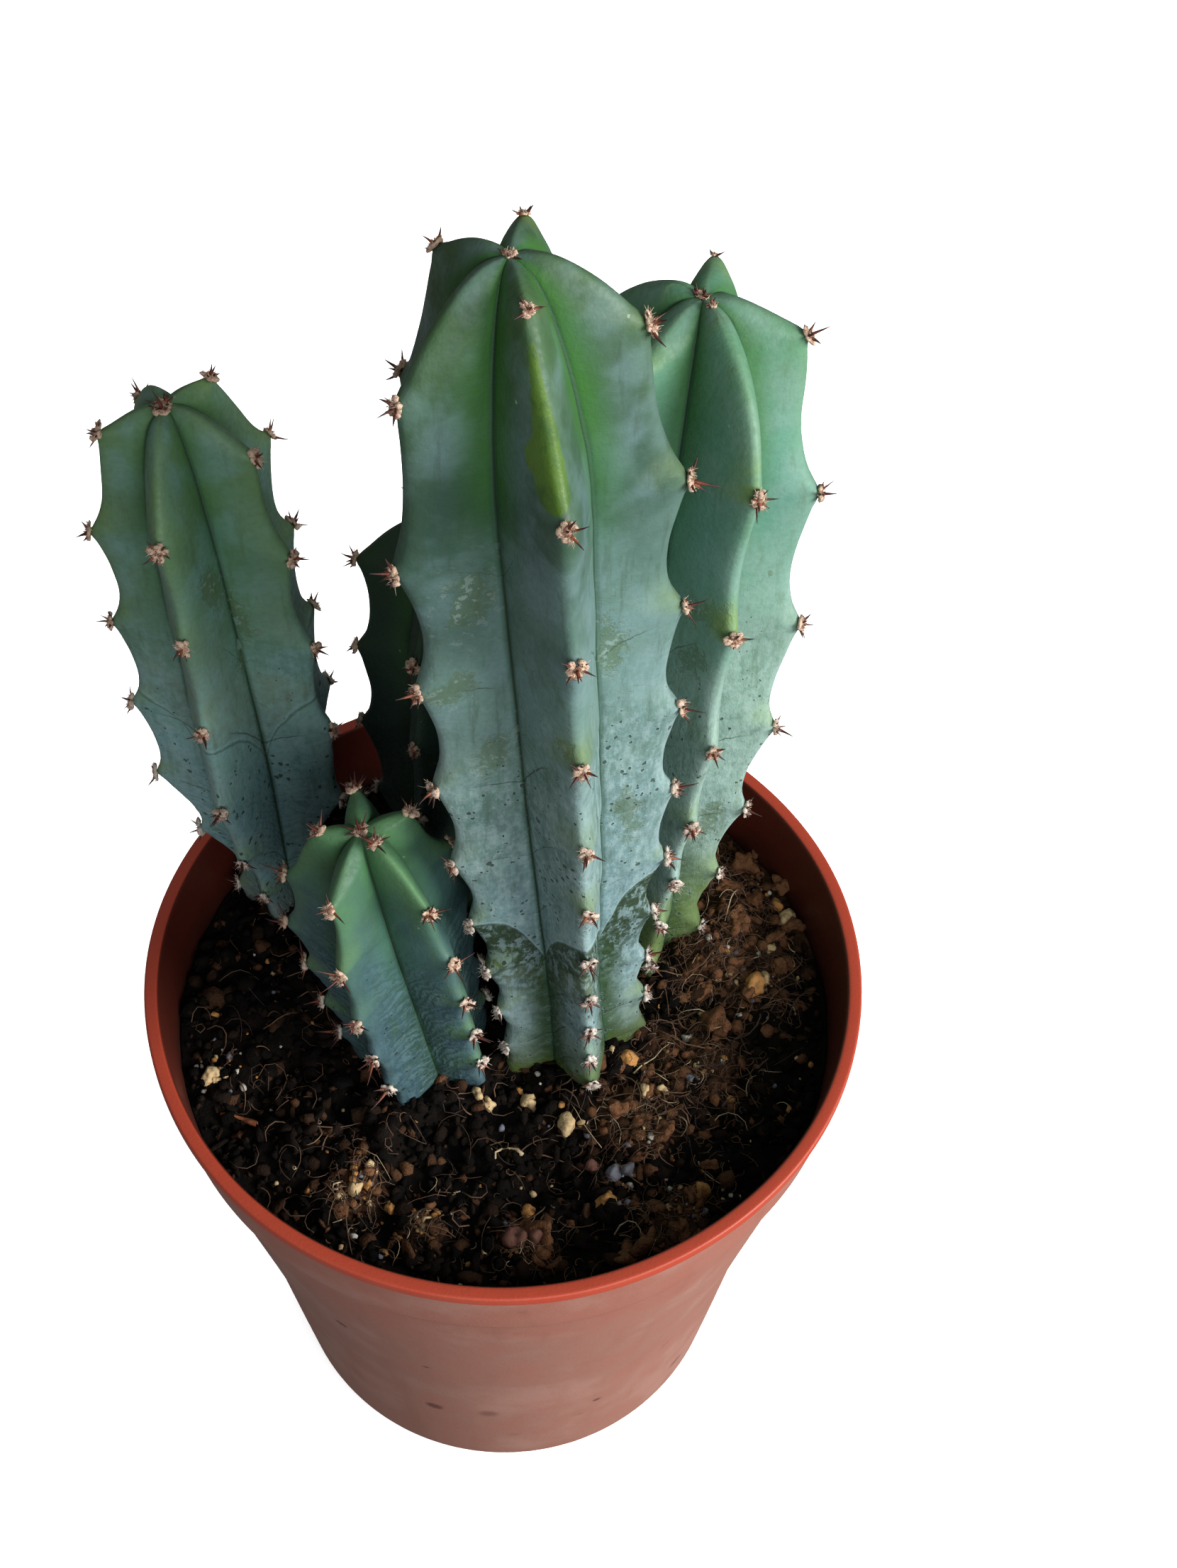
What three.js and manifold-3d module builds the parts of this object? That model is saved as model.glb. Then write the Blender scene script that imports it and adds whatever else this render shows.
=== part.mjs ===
// A clump of five blue-green columnar cacti in a terracotta-coloured plastic nursery pot.
// Millimetres, +Z up. The origin is the middle of the pot's underside, on the surface it stands on.

import * as THREE from 'three';
import { mergeVertices } from 'three/addons/utils/BufferGeometryUtils.js';
import Module from 'manifold-3d';

const wasm = await Module();
wasm.setup();

// ---- Driving dimensions: pot ----
const potHeight = 110;
const lipRadius = 60;
const lipWidth = 2.4;
const lipHeight = 2.4;
const lipOverhang = 0.5;
const lipRounding = 0.45;
const collarHeight = 16;
const collarBottomRadius = 57.9;
const collarStepHeight = 1;
const wallTopRadius = 57.0;
const waistHeight = 42;
const waistRadius = 47.8;
const footRadius = 42.7;
const footChamfer = 0.7;
const wallThickness = 1.3;
const floorThickness = 1.2;
const floorRise = 1.2;
const floorCorner = 1.5;
const middlePadRadius = 14;
const footRingWidth = 5;
const drainHoleCount = 8;
const drainHoleRadius = 3;
const drainHoleCircle = 27;
const drainHoleSides = 16;
const roundSegments = 48;

// ---- Driving dimensions: soil ----
const soilLevel = 95.5;
const soilGap = 0.5;
const soilRings = 9;
const soilSegments = 36;
const soilRelief = 1.1;
const holeGap = 0.65;

// ---- Driving dimensions: what all stems share ----
const ribCount = 5;
const rowsPerAreole = 3;
const shortestGap = 8.5;
const rootDepth = 13;
const scallopShare = 0.085;
const scallopFadeHeight = 10;
const crestRounding = 0.16;
const flankFlatness = { tip: 0.6, middle: 0.85, tipHeight: 45 };
const domeRoundness = 2.5;
const furrowDepth = { middle: 0.51, footRise: 0.1, footHeight: 45, tipHeight: 30 };
const straightFrom = { low: 2, high: 7 };
const sideSteps = [-0.55, -0.18, 0, 0.18, 0.55, 1];
const spineSides = [-0.13, 0.13];
const spineRadius = 0.45;
const spineRootDepth = 1.3;
const spineRow = 0.06;
const steepestSpine = 2.5;
const lowestSpine = 5;
const stemClearance = 2.5;
const rimClearance = 1;

// ---- Driving dimensions: one entry for each stem ----
// foot and tip are the ends of the axis above the soil. Angles are in degrees, counter-clockwise seen from
// above, from the front (-Y). Each rib stands off its even place by ribShift, and its crest reaches out by
// ribReach times the crest radius. swell is the stretch of the height, as shares, in which the foot's crest
// radius grows to the belly's. firstAreoles are measured along each rib's crest from the tip, and each gap to
// the next areole is shorter than the one above it by gapShrink. tipDrop deepens the furrows at the tip, and
// straight is the share by which the crests run straight between the tip and the first two areoles.
const stems = [
  {
    name: 'stem_main', seed: 11, color: 0x6f9a92,
    foot: [10.8, -3.4], tip: [1.1, -11.5, 267.0], turn: 16, twist: -1.9,
    ribShift: [0, -2.2, 11, 0.3, 4.9], ribReach: [1.04, 0.965, 0.99, 0.925, 0.985],
    footCrest: 13.3, bellyCrest: 19.0, swell: [0.05, 0.51], taper: -0.08, dome: 38.9,
    tipDrop: 0.08, straight: 0.15,
    firstAreoles: [7.6, 18.9, 7.9, 12.7, 22.1], gap: 25.3, gapShrink: 1.86, spineLength: 2.9,
  },
  {
    name: 'stem_right', seed: 25, color: 0x7fa89c,
    foot: [24.1, 18.9], tip: [26.2, 23.2, 233.0], turn: 4.4, twist: 16.4,
    ribShift: [0, -14, 3.5, -2.8, 9.2], ribReach: [1.115, 0.925, 0.99, 0.9, 0.84],
    footCrest: 11.4, bellyCrest: 20.7, swell: [-0.04, 0.55], taper: 0.08, dome: 15.5,
    tipDrop: 0.13, straight: 0.45,
    firstAreoles: [2.2, 15.8, 10.2, 1.0, 18.0], gap: 27.2, gapShrink: 2.2, spineLength: 2.7,
  },
  {
    name: 'stem_left', seed: 37, color: 0x5f8a7c,
    foot: [-39.4, 26.4], tip: [-44.4, 18.4, 218.6], turn: -8.9, twist: 4.6,
    ribShift: [0, -1.9, -3.2, -4.1, 3.5], ribReach: [1.06, 1.01, 1, 0.93, 0.925],
    footCrest: 7.8, bellyCrest: 17.3, swell: [0, 0.41], taper: 0.19, dome: 14.9,
    tipDrop: 0.14, straight: 0.45,
    firstAreoles: [1.1, 14.2, 7.7, 20.6, 10.3], gap: 19.8, gapShrink: 0, spineLength: 2.7,
  },
  {
    name: 'stem_back', seed: 41, color: 0x2f4a40,
    foot: [-9, 29], tip: [-7.5, 27, 189.5], turn: -22, twist: 0,
    ribShift: [0, 0, 0, 0, 0], ribReach: [1, 1, 1, 1, 1],
    footCrest: 10, bellyCrest: 15, swell: [0, 0.5], taper: 0.08, dome: 15,
    tipDrop: 0.13, straight: 0.4,
    firstAreoles: [8, 16, 4, 12, 20], gap: 20, gapShrink: 0.8, spineLength: 2.7,
  },
  {
    name: 'stem_small', seed: 53, color: 0x4f857c,
    foot: [-12.8, -7.0], tip: [-20.3, -14.5, 168.2], turn: -16.7, twist: -6.4,
    ribShift: [0, -6.1, -5.9, -4.4, 2.5], ribReach: [1.03, 0.96, 0.88, 1, 0.99],
    footCrest: 11.8, bellyCrest: 15.4, swell: [-0.31, 0.65], taper: 0.27, dome: 7.7,
    tipDrop: 0.2, straight: 0.5,
    firstAreoles: [12.1, 3.3, 8.7, 7.4, 6.0], gap: 15, gapShrink: 0.77, spineLength: 3.8,
  },
];

// Larger grit stones that lie more than half sunk in the soil: [x, y, radius].
const stones = [
  [-49.6, -12.9, 1.6], [-4.2, -17.6, 1.9], [4.4, -18.6, 1.4], [10.1, -22.9, 2.3], [20.6, -11.7, 1.9],
  [31.7, -35.8, 2.0], [3.9, -38.6, 1.6], [16.4, -37.4, 1.9], [50.0, 18.0, 1.8], [43.1, 2.6, 2.2],
  [2.0, -44.1, 2.6],
];

// ---- Helpers ----

const radians = THREE.MathUtils.degToRad;

function lerp(from, to, share) {
  return from + (to - from) * share;
}

// 0 below the first edge, 1 above the second, and an S-curve between them.
function smoothStep(low, high, value) {
  const share = Math.min(1, Math.max(0, (value - low) / (high - low)));
  return share * share * (3 - 2 * share);
}

// Repeatable random numbers from 0 to 1.
function randomFrom(seed) {
  let state = seed;
  return () => {
    state = (state * 1664525 + 1013904223) % 4294967296;
    return state / 4294967296;
  };
}

function toSolid(geometry) {
  const plain = geometry.clone();
  plain.deleteAttribute('normal');
  plain.deleteAttribute('uv');
  const merged = mergeVertices(plain, 1e-4);
  const vertProperties = new Float32Array(merged.attributes.position.array);
  const triVerts = new Uint32Array(merged.index.array);
  return new wasm.Manifold(new wasm.Mesh({ numProp: 3, vertProperties, triVerts }));
}

function toGeometry(solid) {
  const result = solid.getMesh();
  const geometry = new THREE.BufferGeometry();
  geometry.setAttribute('position', new THREE.BufferAttribute(new Float32Array(result.vertProperties), 3));
  geometry.setIndex(new THREE.BufferAttribute(new Uint32Array(result.triVerts), 1));
  geometry.computeVertexNormals();
  return geometry;
}

function namedMesh(name, geometry, color, roughness) {
  const material = new THREE.MeshStandardMaterial({ color, roughness, metalness: 0 });
  const mesh = new THREE.Mesh(geometry, material);
  mesh.name = name;
  return mesh;
}

// ---- Pot ----

const collarBottom = potHeight - collarHeight;

// The wall's outer radius below the collar: a steep lower half, and an upper half that flares more.
function wallRadius(z) {
  if (z < waistHeight) {
    return lerp(footRadius, waistRadius, z / waistHeight);
  }
  return lerp(waistRadius, wallTopRadius, (z - waistHeight) / (collarBottom - waistHeight));
}

// The wall's inner radius at any height.
function innerRadius(z) {
  const lipInner = lipRadius - lipWidth;
  const lipBottomInner = wallRadius(collarBottom) - wallThickness;
  if (z > collarBottom) {
    return lerp(lipBottomInner, lipInner, (z - collarBottom) / collarHeight);
  }
  return wallRadius(z) - wallThickness;
}

// Turned profile: underside with a middle pad and a foot ring that touch the ground, a raised drain channel
// between them, the two tapers of the wall, the collar, the lip, and back down the inside to the floor.
function potProfile() {
  const ringInner = footRadius - footRingWidth;
  const floorTop = floorRise + floorThickness;
  const points = [
    [0, 0],
    [middlePadRadius, 0],
    [middlePadRadius + floorRise, floorRise],
    [ringInner - floorRise, floorRise],
    [ringInner, 0],
    [footRadius - footChamfer, 0],
    [footRadius, footChamfer],
    [waistRadius, waistHeight],
    [wallTopRadius, collarBottom],
    [collarBottomRadius, collarBottom + collarStepHeight],
    [lipRadius - lipOverhang, potHeight - lipHeight],
    [lipRadius, potHeight - lipHeight + lipOverhang],
    [lipRadius, potHeight - lipRounding],
    [lipRadius - lipRounding, potHeight],
    [lipRadius - lipWidth + lipRounding, potHeight],
    [lipRadius - lipWidth, potHeight - lipRounding],
    [innerRadius(collarBottom), collarBottom],
    [innerRadius(waistHeight), waistHeight],
    [innerRadius(floorTop + floorCorner), floorTop + floorCorner],
    [innerRadius(floorTop) - floorCorner, floorTop],
    [0, floorTop],
  ];
  return points.map(([radius, height]) => new THREE.Vector2(radius, height));
}

// LatheGeometry turns its profile about Y, so the result is stood up to turn about Z.
function turned(profile, segments) {
  const geometry = new THREE.LatheGeometry(profile, segments);
  geometry.rotateX(Math.PI / 2);
  return geometry;
}

function makePot() {
  let solid = toSolid(turned(potProfile(), roundSegments));
  for (let i = 0; i < drainHoleCount; i += 1) {
    const angle = (i + 0.5) * 2 * Math.PI / drainHoleCount;
    const drill = new THREE.CylinderGeometry(drainHoleRadius, drainHoleRadius, 12, drainHoleSides);
    drill.rotateX(Math.PI / 2);
    drill.translate(drainHoleCircle * Math.cos(angle), drainHoleCircle * Math.sin(angle), 0);
    solid = solid.subtract(toSolid(drill));
  }
  return namedMesh('pot', toGeometry(solid), 0xa4553c, 0.55);
}

// ---- Stems ----
// Each stem is built upright, with its foot at the local origin and its axis along +Z, then leaned into place.

function footPoint(stem) {
  return new THREE.Vector3(stem.foot[0], stem.foot[1], soilLevel);
}

function axisVector(stem) {
  return new THREE.Vector3(...stem.tip).sub(footPoint(stem));
}

// The smooth crest radius at a height, without the scallops: the foot's radius swells to the belly's, narrows
// by the taper above that, and is closed by a dome at the tip and a round root end below the soil.
function crestRadius(stem, height) {
  const length = axisVector(stem).length();
  const share = height / length;
  const [swellStart, swellEnd] = stem.swell;
  const body = lerp(stem.footCrest, stem.bellyCrest, smoothStep(swellStart, swellEnd, share));
  const above = Math.min(1, Math.max(0, (share - swellEnd) / (1 - swellEnd)));
  const fromTip = Math.min(1, Math.max(0, (length - height) / stem.dome));
  const domeShare = Math.sqrt(1 - (1 - fromTip) ** domeRoundness);
  const belowSoil = Math.min(1, Math.max(0, -height / rootDepth));
  const rootShare = Math.sqrt(1 - belowSoil ** 2);
  return body * (1 - stem.taper * above) * domeShare * rootShare;
}

// The furrow's radius as a share of the crest's: deepest at the tip, shallow at the foot.
function furrowShare(stem, height) {
  const length = axisVector(stem).length();
  const atFoot = 1 - smoothStep(0, furrowDepth.footHeight, height);
  const atTip = 1 - smoothStep(0, furrowDepth.tipHeight, length - height);
  return furrowDepth.middle + furrowDepth.footRise * atFoot - stem.tipDrop * atTip;
}

function ribAngle(stem, rib, height) {
  const length = axisVector(stem).length();
  const degrees = stem.turn + rib * 360 / ribCount + stem.ribShift[rib] + stem.twist * height / length;
  return radians(degrees);
}

// Heights against distance along the crest from the tip, down to the root's end.
function crestTable(stem) {
  const length = axisVector(stem).length();
  const steps = 600;
  const table = [[0, length]];
  let distance = 0;
  for (let i = 1; i <= steps; i += 1) {
    const ease = 0.5 - 0.5 * Math.cos(Math.PI * i / steps);
    const height = length - (length + rootDepth) * ease;
    const above = table[i - 1][1];
    distance += Math.hypot(above - height, crestRadius(stem, above) - crestRadius(stem, height));
    table.push([distance, height]);
  }
  return table;
}

function heightAlong(table, distance) {
  let i = 1;
  while (i < table.length - 1 && table[i][0] < distance) {
    i += 1;
  }
  const [lowDistance, lowHeight] = table[i - 1];
  const [highDistance, highHeight] = table[i];
  return lerp(lowHeight, highHeight, Math.min(1, (distance - lowDistance) / (highDistance - lowDistance)));
}

// Distance along a rib's crest for a count of areoles from the tip: count 1 is the first areole.
function areoleDistance(stem, rib, count) {
  let distance = stem.firstAreoles[rib] * Math.min(1, count);
  let gap = stem.gap;
  for (let left = count - 1; left > 0; left -= 1) {
    distance += gap * Math.min(1, left);
    gap = Math.max(shortestGap, gap - stem.gapShrink);
  }
  return distance;
}

// How many areole steps a stem has, the last of them running to the root's end.
function areoleSteps(stem, table) {
  const total = table[table.length - 1][0];
  const latest = Math.max(...stem.firstAreoles);
  let count = 1;
  while (areoleDistance(stem, stem.firstAreoles.indexOf(latest), count + 1) < total - 0.3 * shortestGap) {
    count += 1;
  }
  return count + 1;
}

// Height of a rib's crest at a count of areoles. The last step is stretched to end at the root's end.
function crestHeight(stem, table, rib, count) {
  const total = table[table.length - 1][0];
  const lastWhole = areoleSteps(stem, table) - 1;
  if (count <= lastWhole) {
    return heightAlong(table, areoleDistance(stem, rib, count));
  }
  const start = areoleDistance(stem, rib, lastWhole);
  return heightAlong(table, lerp(start, total, count - lastWhole));
}

// How far the crest lies inside the smooth curve where it runs straighter: between the tip and its first areole,
// and between that one and the second unless the first is right at the tip.
function crestSag(stem, table, rib, count) {
  if (count >= 2) {
    return 0;
  }
  const top = crestHeight(stem, table, rib, Math.floor(count));
  const end = crestHeight(stem, table, rib, Math.floor(count) + 1);
  const height = crestHeight(stem, table, rib, count);
  const chord = lerp(crestRadius(stem, top), crestRadius(stem, end), (top - height) / (top - end));
  const share = count < 1 ? 1 : smoothStep(straightFrom.low, straightFrom.high, stem.firstAreoles[rib]);
  return stem.straight * share * Math.max(0, crestRadius(stem, height) - chord);
}

// The crest dips in a concave arc between areoles, and has none where it meets the soil.
function scallopDepth(stem, count, height) {
  if (count <= 1) {
    return 0;
  }
  const share = count % 1;
  const gap = areoleDistance(stem, 0, Math.ceil(count)) - areoleDistance(stem, 0, Math.ceil(count) - 1);
  return scallopShare * gap * 4 * share * (1 - share) * smoothStep(0, scallopFadeHeight, height);
}

// The radius across a rib, from its crest to its furrow. The angle is rounded off near the crest by a hyperbola,
// and the flank lies between a flat plane and a radius that falls evenly with the angle, flatter below the tip.
function flankRadius(stem, crest, furrow, across, height) {
  const rounded = Math.hypot(across, crestRounding) - crestRounding;
  const share = rounded / (Math.hypot(1, crestRounding) - crestRounding);
  const half = Math.PI / ribCount;
  const flat = crest * furrow * Math.sin(half)
    / (crest * Math.sin(share * half) + furrow * Math.sin((1 - share) * half));
  const fromTip = axisVector(stem).length() - height;
  const flatness = lerp(flankFlatness.tip, flankFlatness.middle, smoothStep(0, flankFlatness.tipHeight, fromTip));
  return lerp(lerp(crest, furrow, share), flat, flatness);
}

// A point of the skin, pushed outwards by outset. side runs across the rib: 0 on its crest, 1 in the furrow to
// the next rib, -1 in the furrow before it.
function skinPoint(stem, table, rib, side, count, outset) {
  const nextRib = (rib + Math.sign(side) + ribCount) % ribCount;
  const across = Math.abs(side);
  const ownHeight = crestHeight(stem, table, rib, count);
  const nextHeight = crestHeight(stem, table, nextRib, count);
  const height = lerp(ownHeight, (ownHeight + nextHeight) / 2, across);
  const smooth = crestRadius(stem, height);
  const inside = scallopDepth(stem, count, height) + crestSag(stem, table, rib, count);
  const crest = smooth * stem.ribReach[rib] - inside;
  const furrow = smooth * furrowShare(stem, height);
  const radius = flankRadius(stem, crest, furrow, across, height) + outset;
  const ownAngle = ribAngle(stem, rib, height);
  let nextAngle = ribAngle(stem, nextRib, height);
  nextAngle += 2 * Math.PI * Math.round((ownAngle + Math.sign(side) * 1.2 - nextAngle) / (2 * Math.PI));
  const angle = lerp(ownAngle, (ownAngle + nextAngle) / 2, across);
  return new THREE.Vector3(radius * Math.sin(angle), -radius * Math.cos(angle), height);
}

// The closed skin: rows run from the tip to the root's end, with an areole on every whole count of each rib,
// and columns run round the ribs. outset pushes the skin outwards.
function skinGeometry(stem, outset) {
  const table = crestTable(stem);
  const rows = areoleSteps(stem, table) * rowsPerAreole - 1;
  const columns = ribCount * sideSteps.length;
  const length = axisVector(stem).length();
  const positions = [0, 0, length + outset];
  for (let row = 1; row <= rows; row += 1) {
    for (let rib = 0; rib < ribCount; rib += 1) {
      for (const side of sideSteps) {
        positions.push(...skinPoint(stem, table, rib, side, row / rowsPerAreole, outset));
      }
    }
  }
  positions.push(0, 0, -rootDepth);
  const lastVertex = positions.length / 3 - 1;
  const indices = [];
  for (let column = 0; column < columns; column += 1) {
    const next = (column + 1) % columns;
    indices.push(0, 1 + column, 1 + next);
    for (let row = 0; row < rows - 1; row += 1) {
      const upper = 1 + row * columns;
      const lower = upper + columns;
      indices.push(upper + column, lower + column, upper + next);
      indices.push(upper + next, lower + column, lower + next);
    }
    const lastRow = 1 + (rows - 1) * columns;
    indices.push(lastRow + column, lastVertex, lastRow + next);
  }
  const geometry = new THREE.BufferGeometry();
  geometry.setAttribute('position', new THREE.Float32BufferAttribute(positions, 3));
  geometry.setIndex(indices);
  return geometry;
}

// The stem's skin with a gap all round it, deeper at the root's end by the same gap.
function holeGeometry(stem) {
  const geometry = skinGeometry(stem, holeGap);
  const position = geometry.attributes.position;
  for (let i = 0; i < position.count; i += 1) {
    const height = position.getZ(i);
    position.setZ(i, height < 0 ? height * (1 + holeGap / rootDepth) : height);
  }
  return geometry.applyMatrix4(leanMatrix(stem));
}

// The placed mesh of a stem: its foot in the soil's surface and its axis towards its tip.
function leanMatrix(stem) {
  const up = new THREE.Vector3(0, 0, 1);
  const lean = new THREE.Quaternion().setFromUnitVectors(up, axisVector(stem).normalize());
  return new THREE.Matrix4().compose(footPoint(stem), lean, new THREE.Vector3(1, 1, 1));
}

// A three-sided needle from its sunk root to its point.
function spineGeometry(root, direction, length) {
  const whole = length + spineRootDepth;
  const geometry = new THREE.ConeGeometry(spineRadius, whole, 3);
  geometry.translate(0, whole / 2 - spineRootDepth, 0);
  const turn = new THREE.Quaternion().setFromUnitVectors(new THREE.Vector3(0, 1, 0), direction);
  geometry.applyQuaternion(turn);
  geometry.translate(root.x, root.y, root.z);
  return geometry;
}

// Whether a point in the pot's frame is clear of the pot's rim and of every other stem.
function isClear(point, owner) {
  const fromMiddle = Math.hypot(point.x, point.y);
  if (point.z < potHeight + rimClearance && fromMiddle > innerRadius(point.z) - rimClearance) {
    return false;
  }
  return stems.every((stem) => {
    if (stem === owner) {
      return true;
    }
    const local = point.clone().applyMatrix4(leanMatrix(stem).invert());
    const reach = Math.hypot(local.x, local.y);
    const isAbove = local.z > axisVector(stem).length() + stemClearance;
    return isAbove || reach > crestRadius(stem, local.z) + stemClearance;
  });
}

// The direction that a crest faces at a height: outwards, and more upwards the nearer it is to the tip.
function crestNormal(stem, angle, height) {
  const slope = crestRadius(stem, height + 0.5) - crestRadius(stem, height - 0.5);
  const up = Math.min(steepestSpine, Math.max(-0.5, -slope));
  return new THREE.Vector3(Math.sin(angle), -Math.cos(angle), up).normalize();
}

// A needle's direction: out from the crest, splayed to its own side and a little up or down.
function spineDirection(stem, angle, height, side, random) {
  const along = new THREE.Vector3(Math.cos(angle), Math.sin(angle), 0);
  const direction = crestNormal(stem, angle, height);
  direction.addScaledVector(along, Math.sign(side) * (0.35 + 0.6 * random()));
  direction.z += 0.9 * random() - 0.4;
  return direction.normalize();
}

// Every needle of a stem that starts above the soil and is clear of what stands beside it.
function spinesOf(stem) {
  const random = randomFrom(stem.seed);
  const table = crestTable(stem);
  const place = leanMatrix(stem);
  const needles = [];
  for (let rib = 0; rib < ribCount; rib += 1) {
    for (let count = 1; count < areoleSteps(stem, table); count += 1) {
      for (const side of spineSides) {
        const root = skinPoint(stem, table, rib, side, count + spineRow, 0);
        const direction = spineDirection(stem, ribAngle(stem, rib, root.z), root.z, side, random);
        const length = stem.spineLength * (0.75 + 0.5 * random());
        const point = root.clone().addScaledVector(direction, length).applyMatrix4(place);
        if (root.z > lowestSpine && isClear(point, stem)) {
          needles.push(spineGeometry(root, direction, length));
        }
      }
    }
  }
  return needles;
}

function makeStem(stem) {
  let solid = toSolid(skinGeometry(stem, 0));
  for (const needle of spinesOf(stem)) {
    solid = solid.add(toSolid(needle));
  }
  const mesh = namedMesh(stem.name, toGeometry(solid), stem.color, 0.45);
  mesh.applyMatrix4(leanMatrix(stem));
  return mesh;
}

// ---- Soil ----

// The uneven top: three crossing waves, faded out at the pot's wall.
function soilHeight(x, y) {
  const waves = Math.sin(x * 0.13 + 1.1) * Math.cos(y * 0.11) + 0.6 * Math.sin(x * 0.31 - y * 0.27)
    + 0.5 * Math.cos(x * 0.52 + y * 0.47 + 2);
  const edge = 1 - smoothStep(0.75, 1, Math.hypot(x, y) / innerRadius(soilLevel));
  return soilLevel + soilRelief * waves * (0.4 + 0.6 * edge);
}

// The plug of soil is a turned body whose top vertices are lifted to the uneven surface.
function soilPlug() {
  const bottom = floorRise + floorThickness + soilGap;
  const topRadius = innerRadius(soilLevel) - soilGap;
  const profile = [new THREE.Vector2(0, bottom)];
  profile.push(new THREE.Vector2(innerRadius(bottom) - soilGap - 2, bottom));
  profile.push(new THREE.Vector2(innerRadius(bottom + 2) - soilGap, bottom + 2));
  profile.push(new THREE.Vector2(innerRadius(waistHeight) - soilGap, waistHeight));
  for (let ring = soilRings; ring >= 0; ring -= 1) {
    profile.push(new THREE.Vector2(topRadius * ring / soilRings, soilLevel));
  }
  const geometry = turned(profile, soilSegments);
  const position = geometry.attributes.position;
  for (let i = 0; i < position.count; i += 1) {
    if (position.getZ(i) > soilLevel - 1) {
      position.setZ(i, soilHeight(position.getX(i), position.getY(i)));
    }
  }
  return geometry;
}

function stoneGeometry([x, y, radius], random) {
  const geometry = new THREE.IcosahedronGeometry(radius, 0);
  geometry.rotateX(random() * 3);
  geometry.rotateY(random() * 3);
  geometry.scale(1, 0.8, 0.65);
  geometry.rotateZ(random() * 3);
  geometry.translate(x, y, soilHeight(x, y) - 0.25 * radius);
  return geometry;
}

function makeSoil() {
  const random = randomFrom(7);
  let solid = toSolid(soilPlug());
  for (const stone of stones) {
    solid = solid.add(toSolid(stoneGeometry(stone, random)));
  }
  for (const stem of stems) {
    solid = solid.subtract(toSolid(holeGeometry(stem)));
  }
  return namedMesh('soil', toGeometry(solid), 0x2a211c, 0.95);
}

// ---- The whole ----

const cactus = new THREE.Group();
cactus.add(makePot());
cactus.add(makeSoil());
for (const stem of stems) {
  cactus.add(makeStem(stem));
}

export default cactus;
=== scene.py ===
import bmesh
import bpy
import numpy as np
from mathutils import Matrix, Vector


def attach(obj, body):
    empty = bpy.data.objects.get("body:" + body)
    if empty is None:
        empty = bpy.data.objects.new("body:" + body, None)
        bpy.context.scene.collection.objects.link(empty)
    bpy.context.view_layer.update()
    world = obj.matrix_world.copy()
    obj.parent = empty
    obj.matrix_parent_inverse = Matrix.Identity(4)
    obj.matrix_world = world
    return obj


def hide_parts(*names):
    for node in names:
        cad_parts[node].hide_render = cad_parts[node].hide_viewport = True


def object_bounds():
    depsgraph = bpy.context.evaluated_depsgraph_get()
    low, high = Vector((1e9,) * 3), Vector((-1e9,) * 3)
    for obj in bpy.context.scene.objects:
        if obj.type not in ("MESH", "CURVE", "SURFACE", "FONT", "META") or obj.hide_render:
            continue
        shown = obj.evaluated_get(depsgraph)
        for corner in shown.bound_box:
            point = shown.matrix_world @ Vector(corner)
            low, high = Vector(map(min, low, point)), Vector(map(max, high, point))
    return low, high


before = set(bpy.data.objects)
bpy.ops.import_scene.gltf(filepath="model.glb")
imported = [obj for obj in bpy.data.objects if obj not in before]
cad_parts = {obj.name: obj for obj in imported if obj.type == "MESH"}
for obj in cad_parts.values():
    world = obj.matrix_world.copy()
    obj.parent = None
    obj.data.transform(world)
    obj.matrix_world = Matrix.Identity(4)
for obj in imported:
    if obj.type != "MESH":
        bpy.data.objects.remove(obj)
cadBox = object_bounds()
mm = 0.001


# A dictionary whose entries can also be read and set as attributes.
class Settings(dict):
    __getattr__ = dict.__getitem__
    __setattr__ = dict.__setitem__


# One settings dictionary for each stem, from a table with a value for each stem in every row.
def columns(table):
    names = ("main", "right", "left", "back", "small")
    return {name: Settings({key: row[i] for key, row in table.items()}) for i, name in enumerate(names)}


# An object in the scene at a place, its own axes turned to three directions.
def addObject(name, data, axes=np.eye(3), place=(0, 0, 0)):
    made = bpy.data.objects.new(name, data)
    turned = np.eye(4)
    turned[:3, :3], turned[:3, 3] = np.transpose(axes), place
    made.matrix_world = Matrix(turned.tolist())
    bpy.context.scene.collection.objects.link(made)
    return made


# The camera, as found from the pot's circles: its place in millimetres, and its pitch, yaw and roll in
# degrees.
cameraView = Settings(place=(1.3, -193.8, 410.2), pitch=52.28, yaw=3.36, roll=-2.48,
                      focalPixels=3000, tallPixels=2212, sensor=36.0)


def addCamera():
    pitch, yaw, roll = np.radians([cameraView.pitch, cameraView.yaw, cameraView.roll])
    forward = np.array([np.sin(yaw) * np.cos(pitch), np.cos(yaw) * np.cos(pitch), -np.sin(pitch)])
    level = np.array([np.cos(yaw), -np.sin(yaw), 0.0])
    drop = np.cross(forward, level)
    right = np.cos(roll) * level + np.sin(roll) * drop
    down = -np.sin(roll) * level + np.cos(roll) * drop
    data = bpy.data.cameras.new("camera")
    data.sensor_width = cameraView.sensor
    data.lens = cameraView.focalPixels / cameraView.tallPixels * cameraView.sensor
    data.clip_start = 0.01
    place = np.array(cameraView.place) * mm
    bpy.context.scene.camera = addObject("camera", data, (right, -down, -forward), place)


addCamera()
print("camera set")


def between(low, high, share):
    return low + (high - low) * share


def clamp(values):
    return np.clip(values, 0.0, 1.0)


# 0 below low, 1 above high, and the cubic 3s^2 - 2s^3 between them
def smoothStep(low, high, values):
    share = clamp((values - low) / (high - low))
    return share * share * (3 - 2 * share)


# a bell: e to the power of -(distance / width)^2
def bell(distance, width):
    return np.exp(-(distance / width) ** 2)


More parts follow.
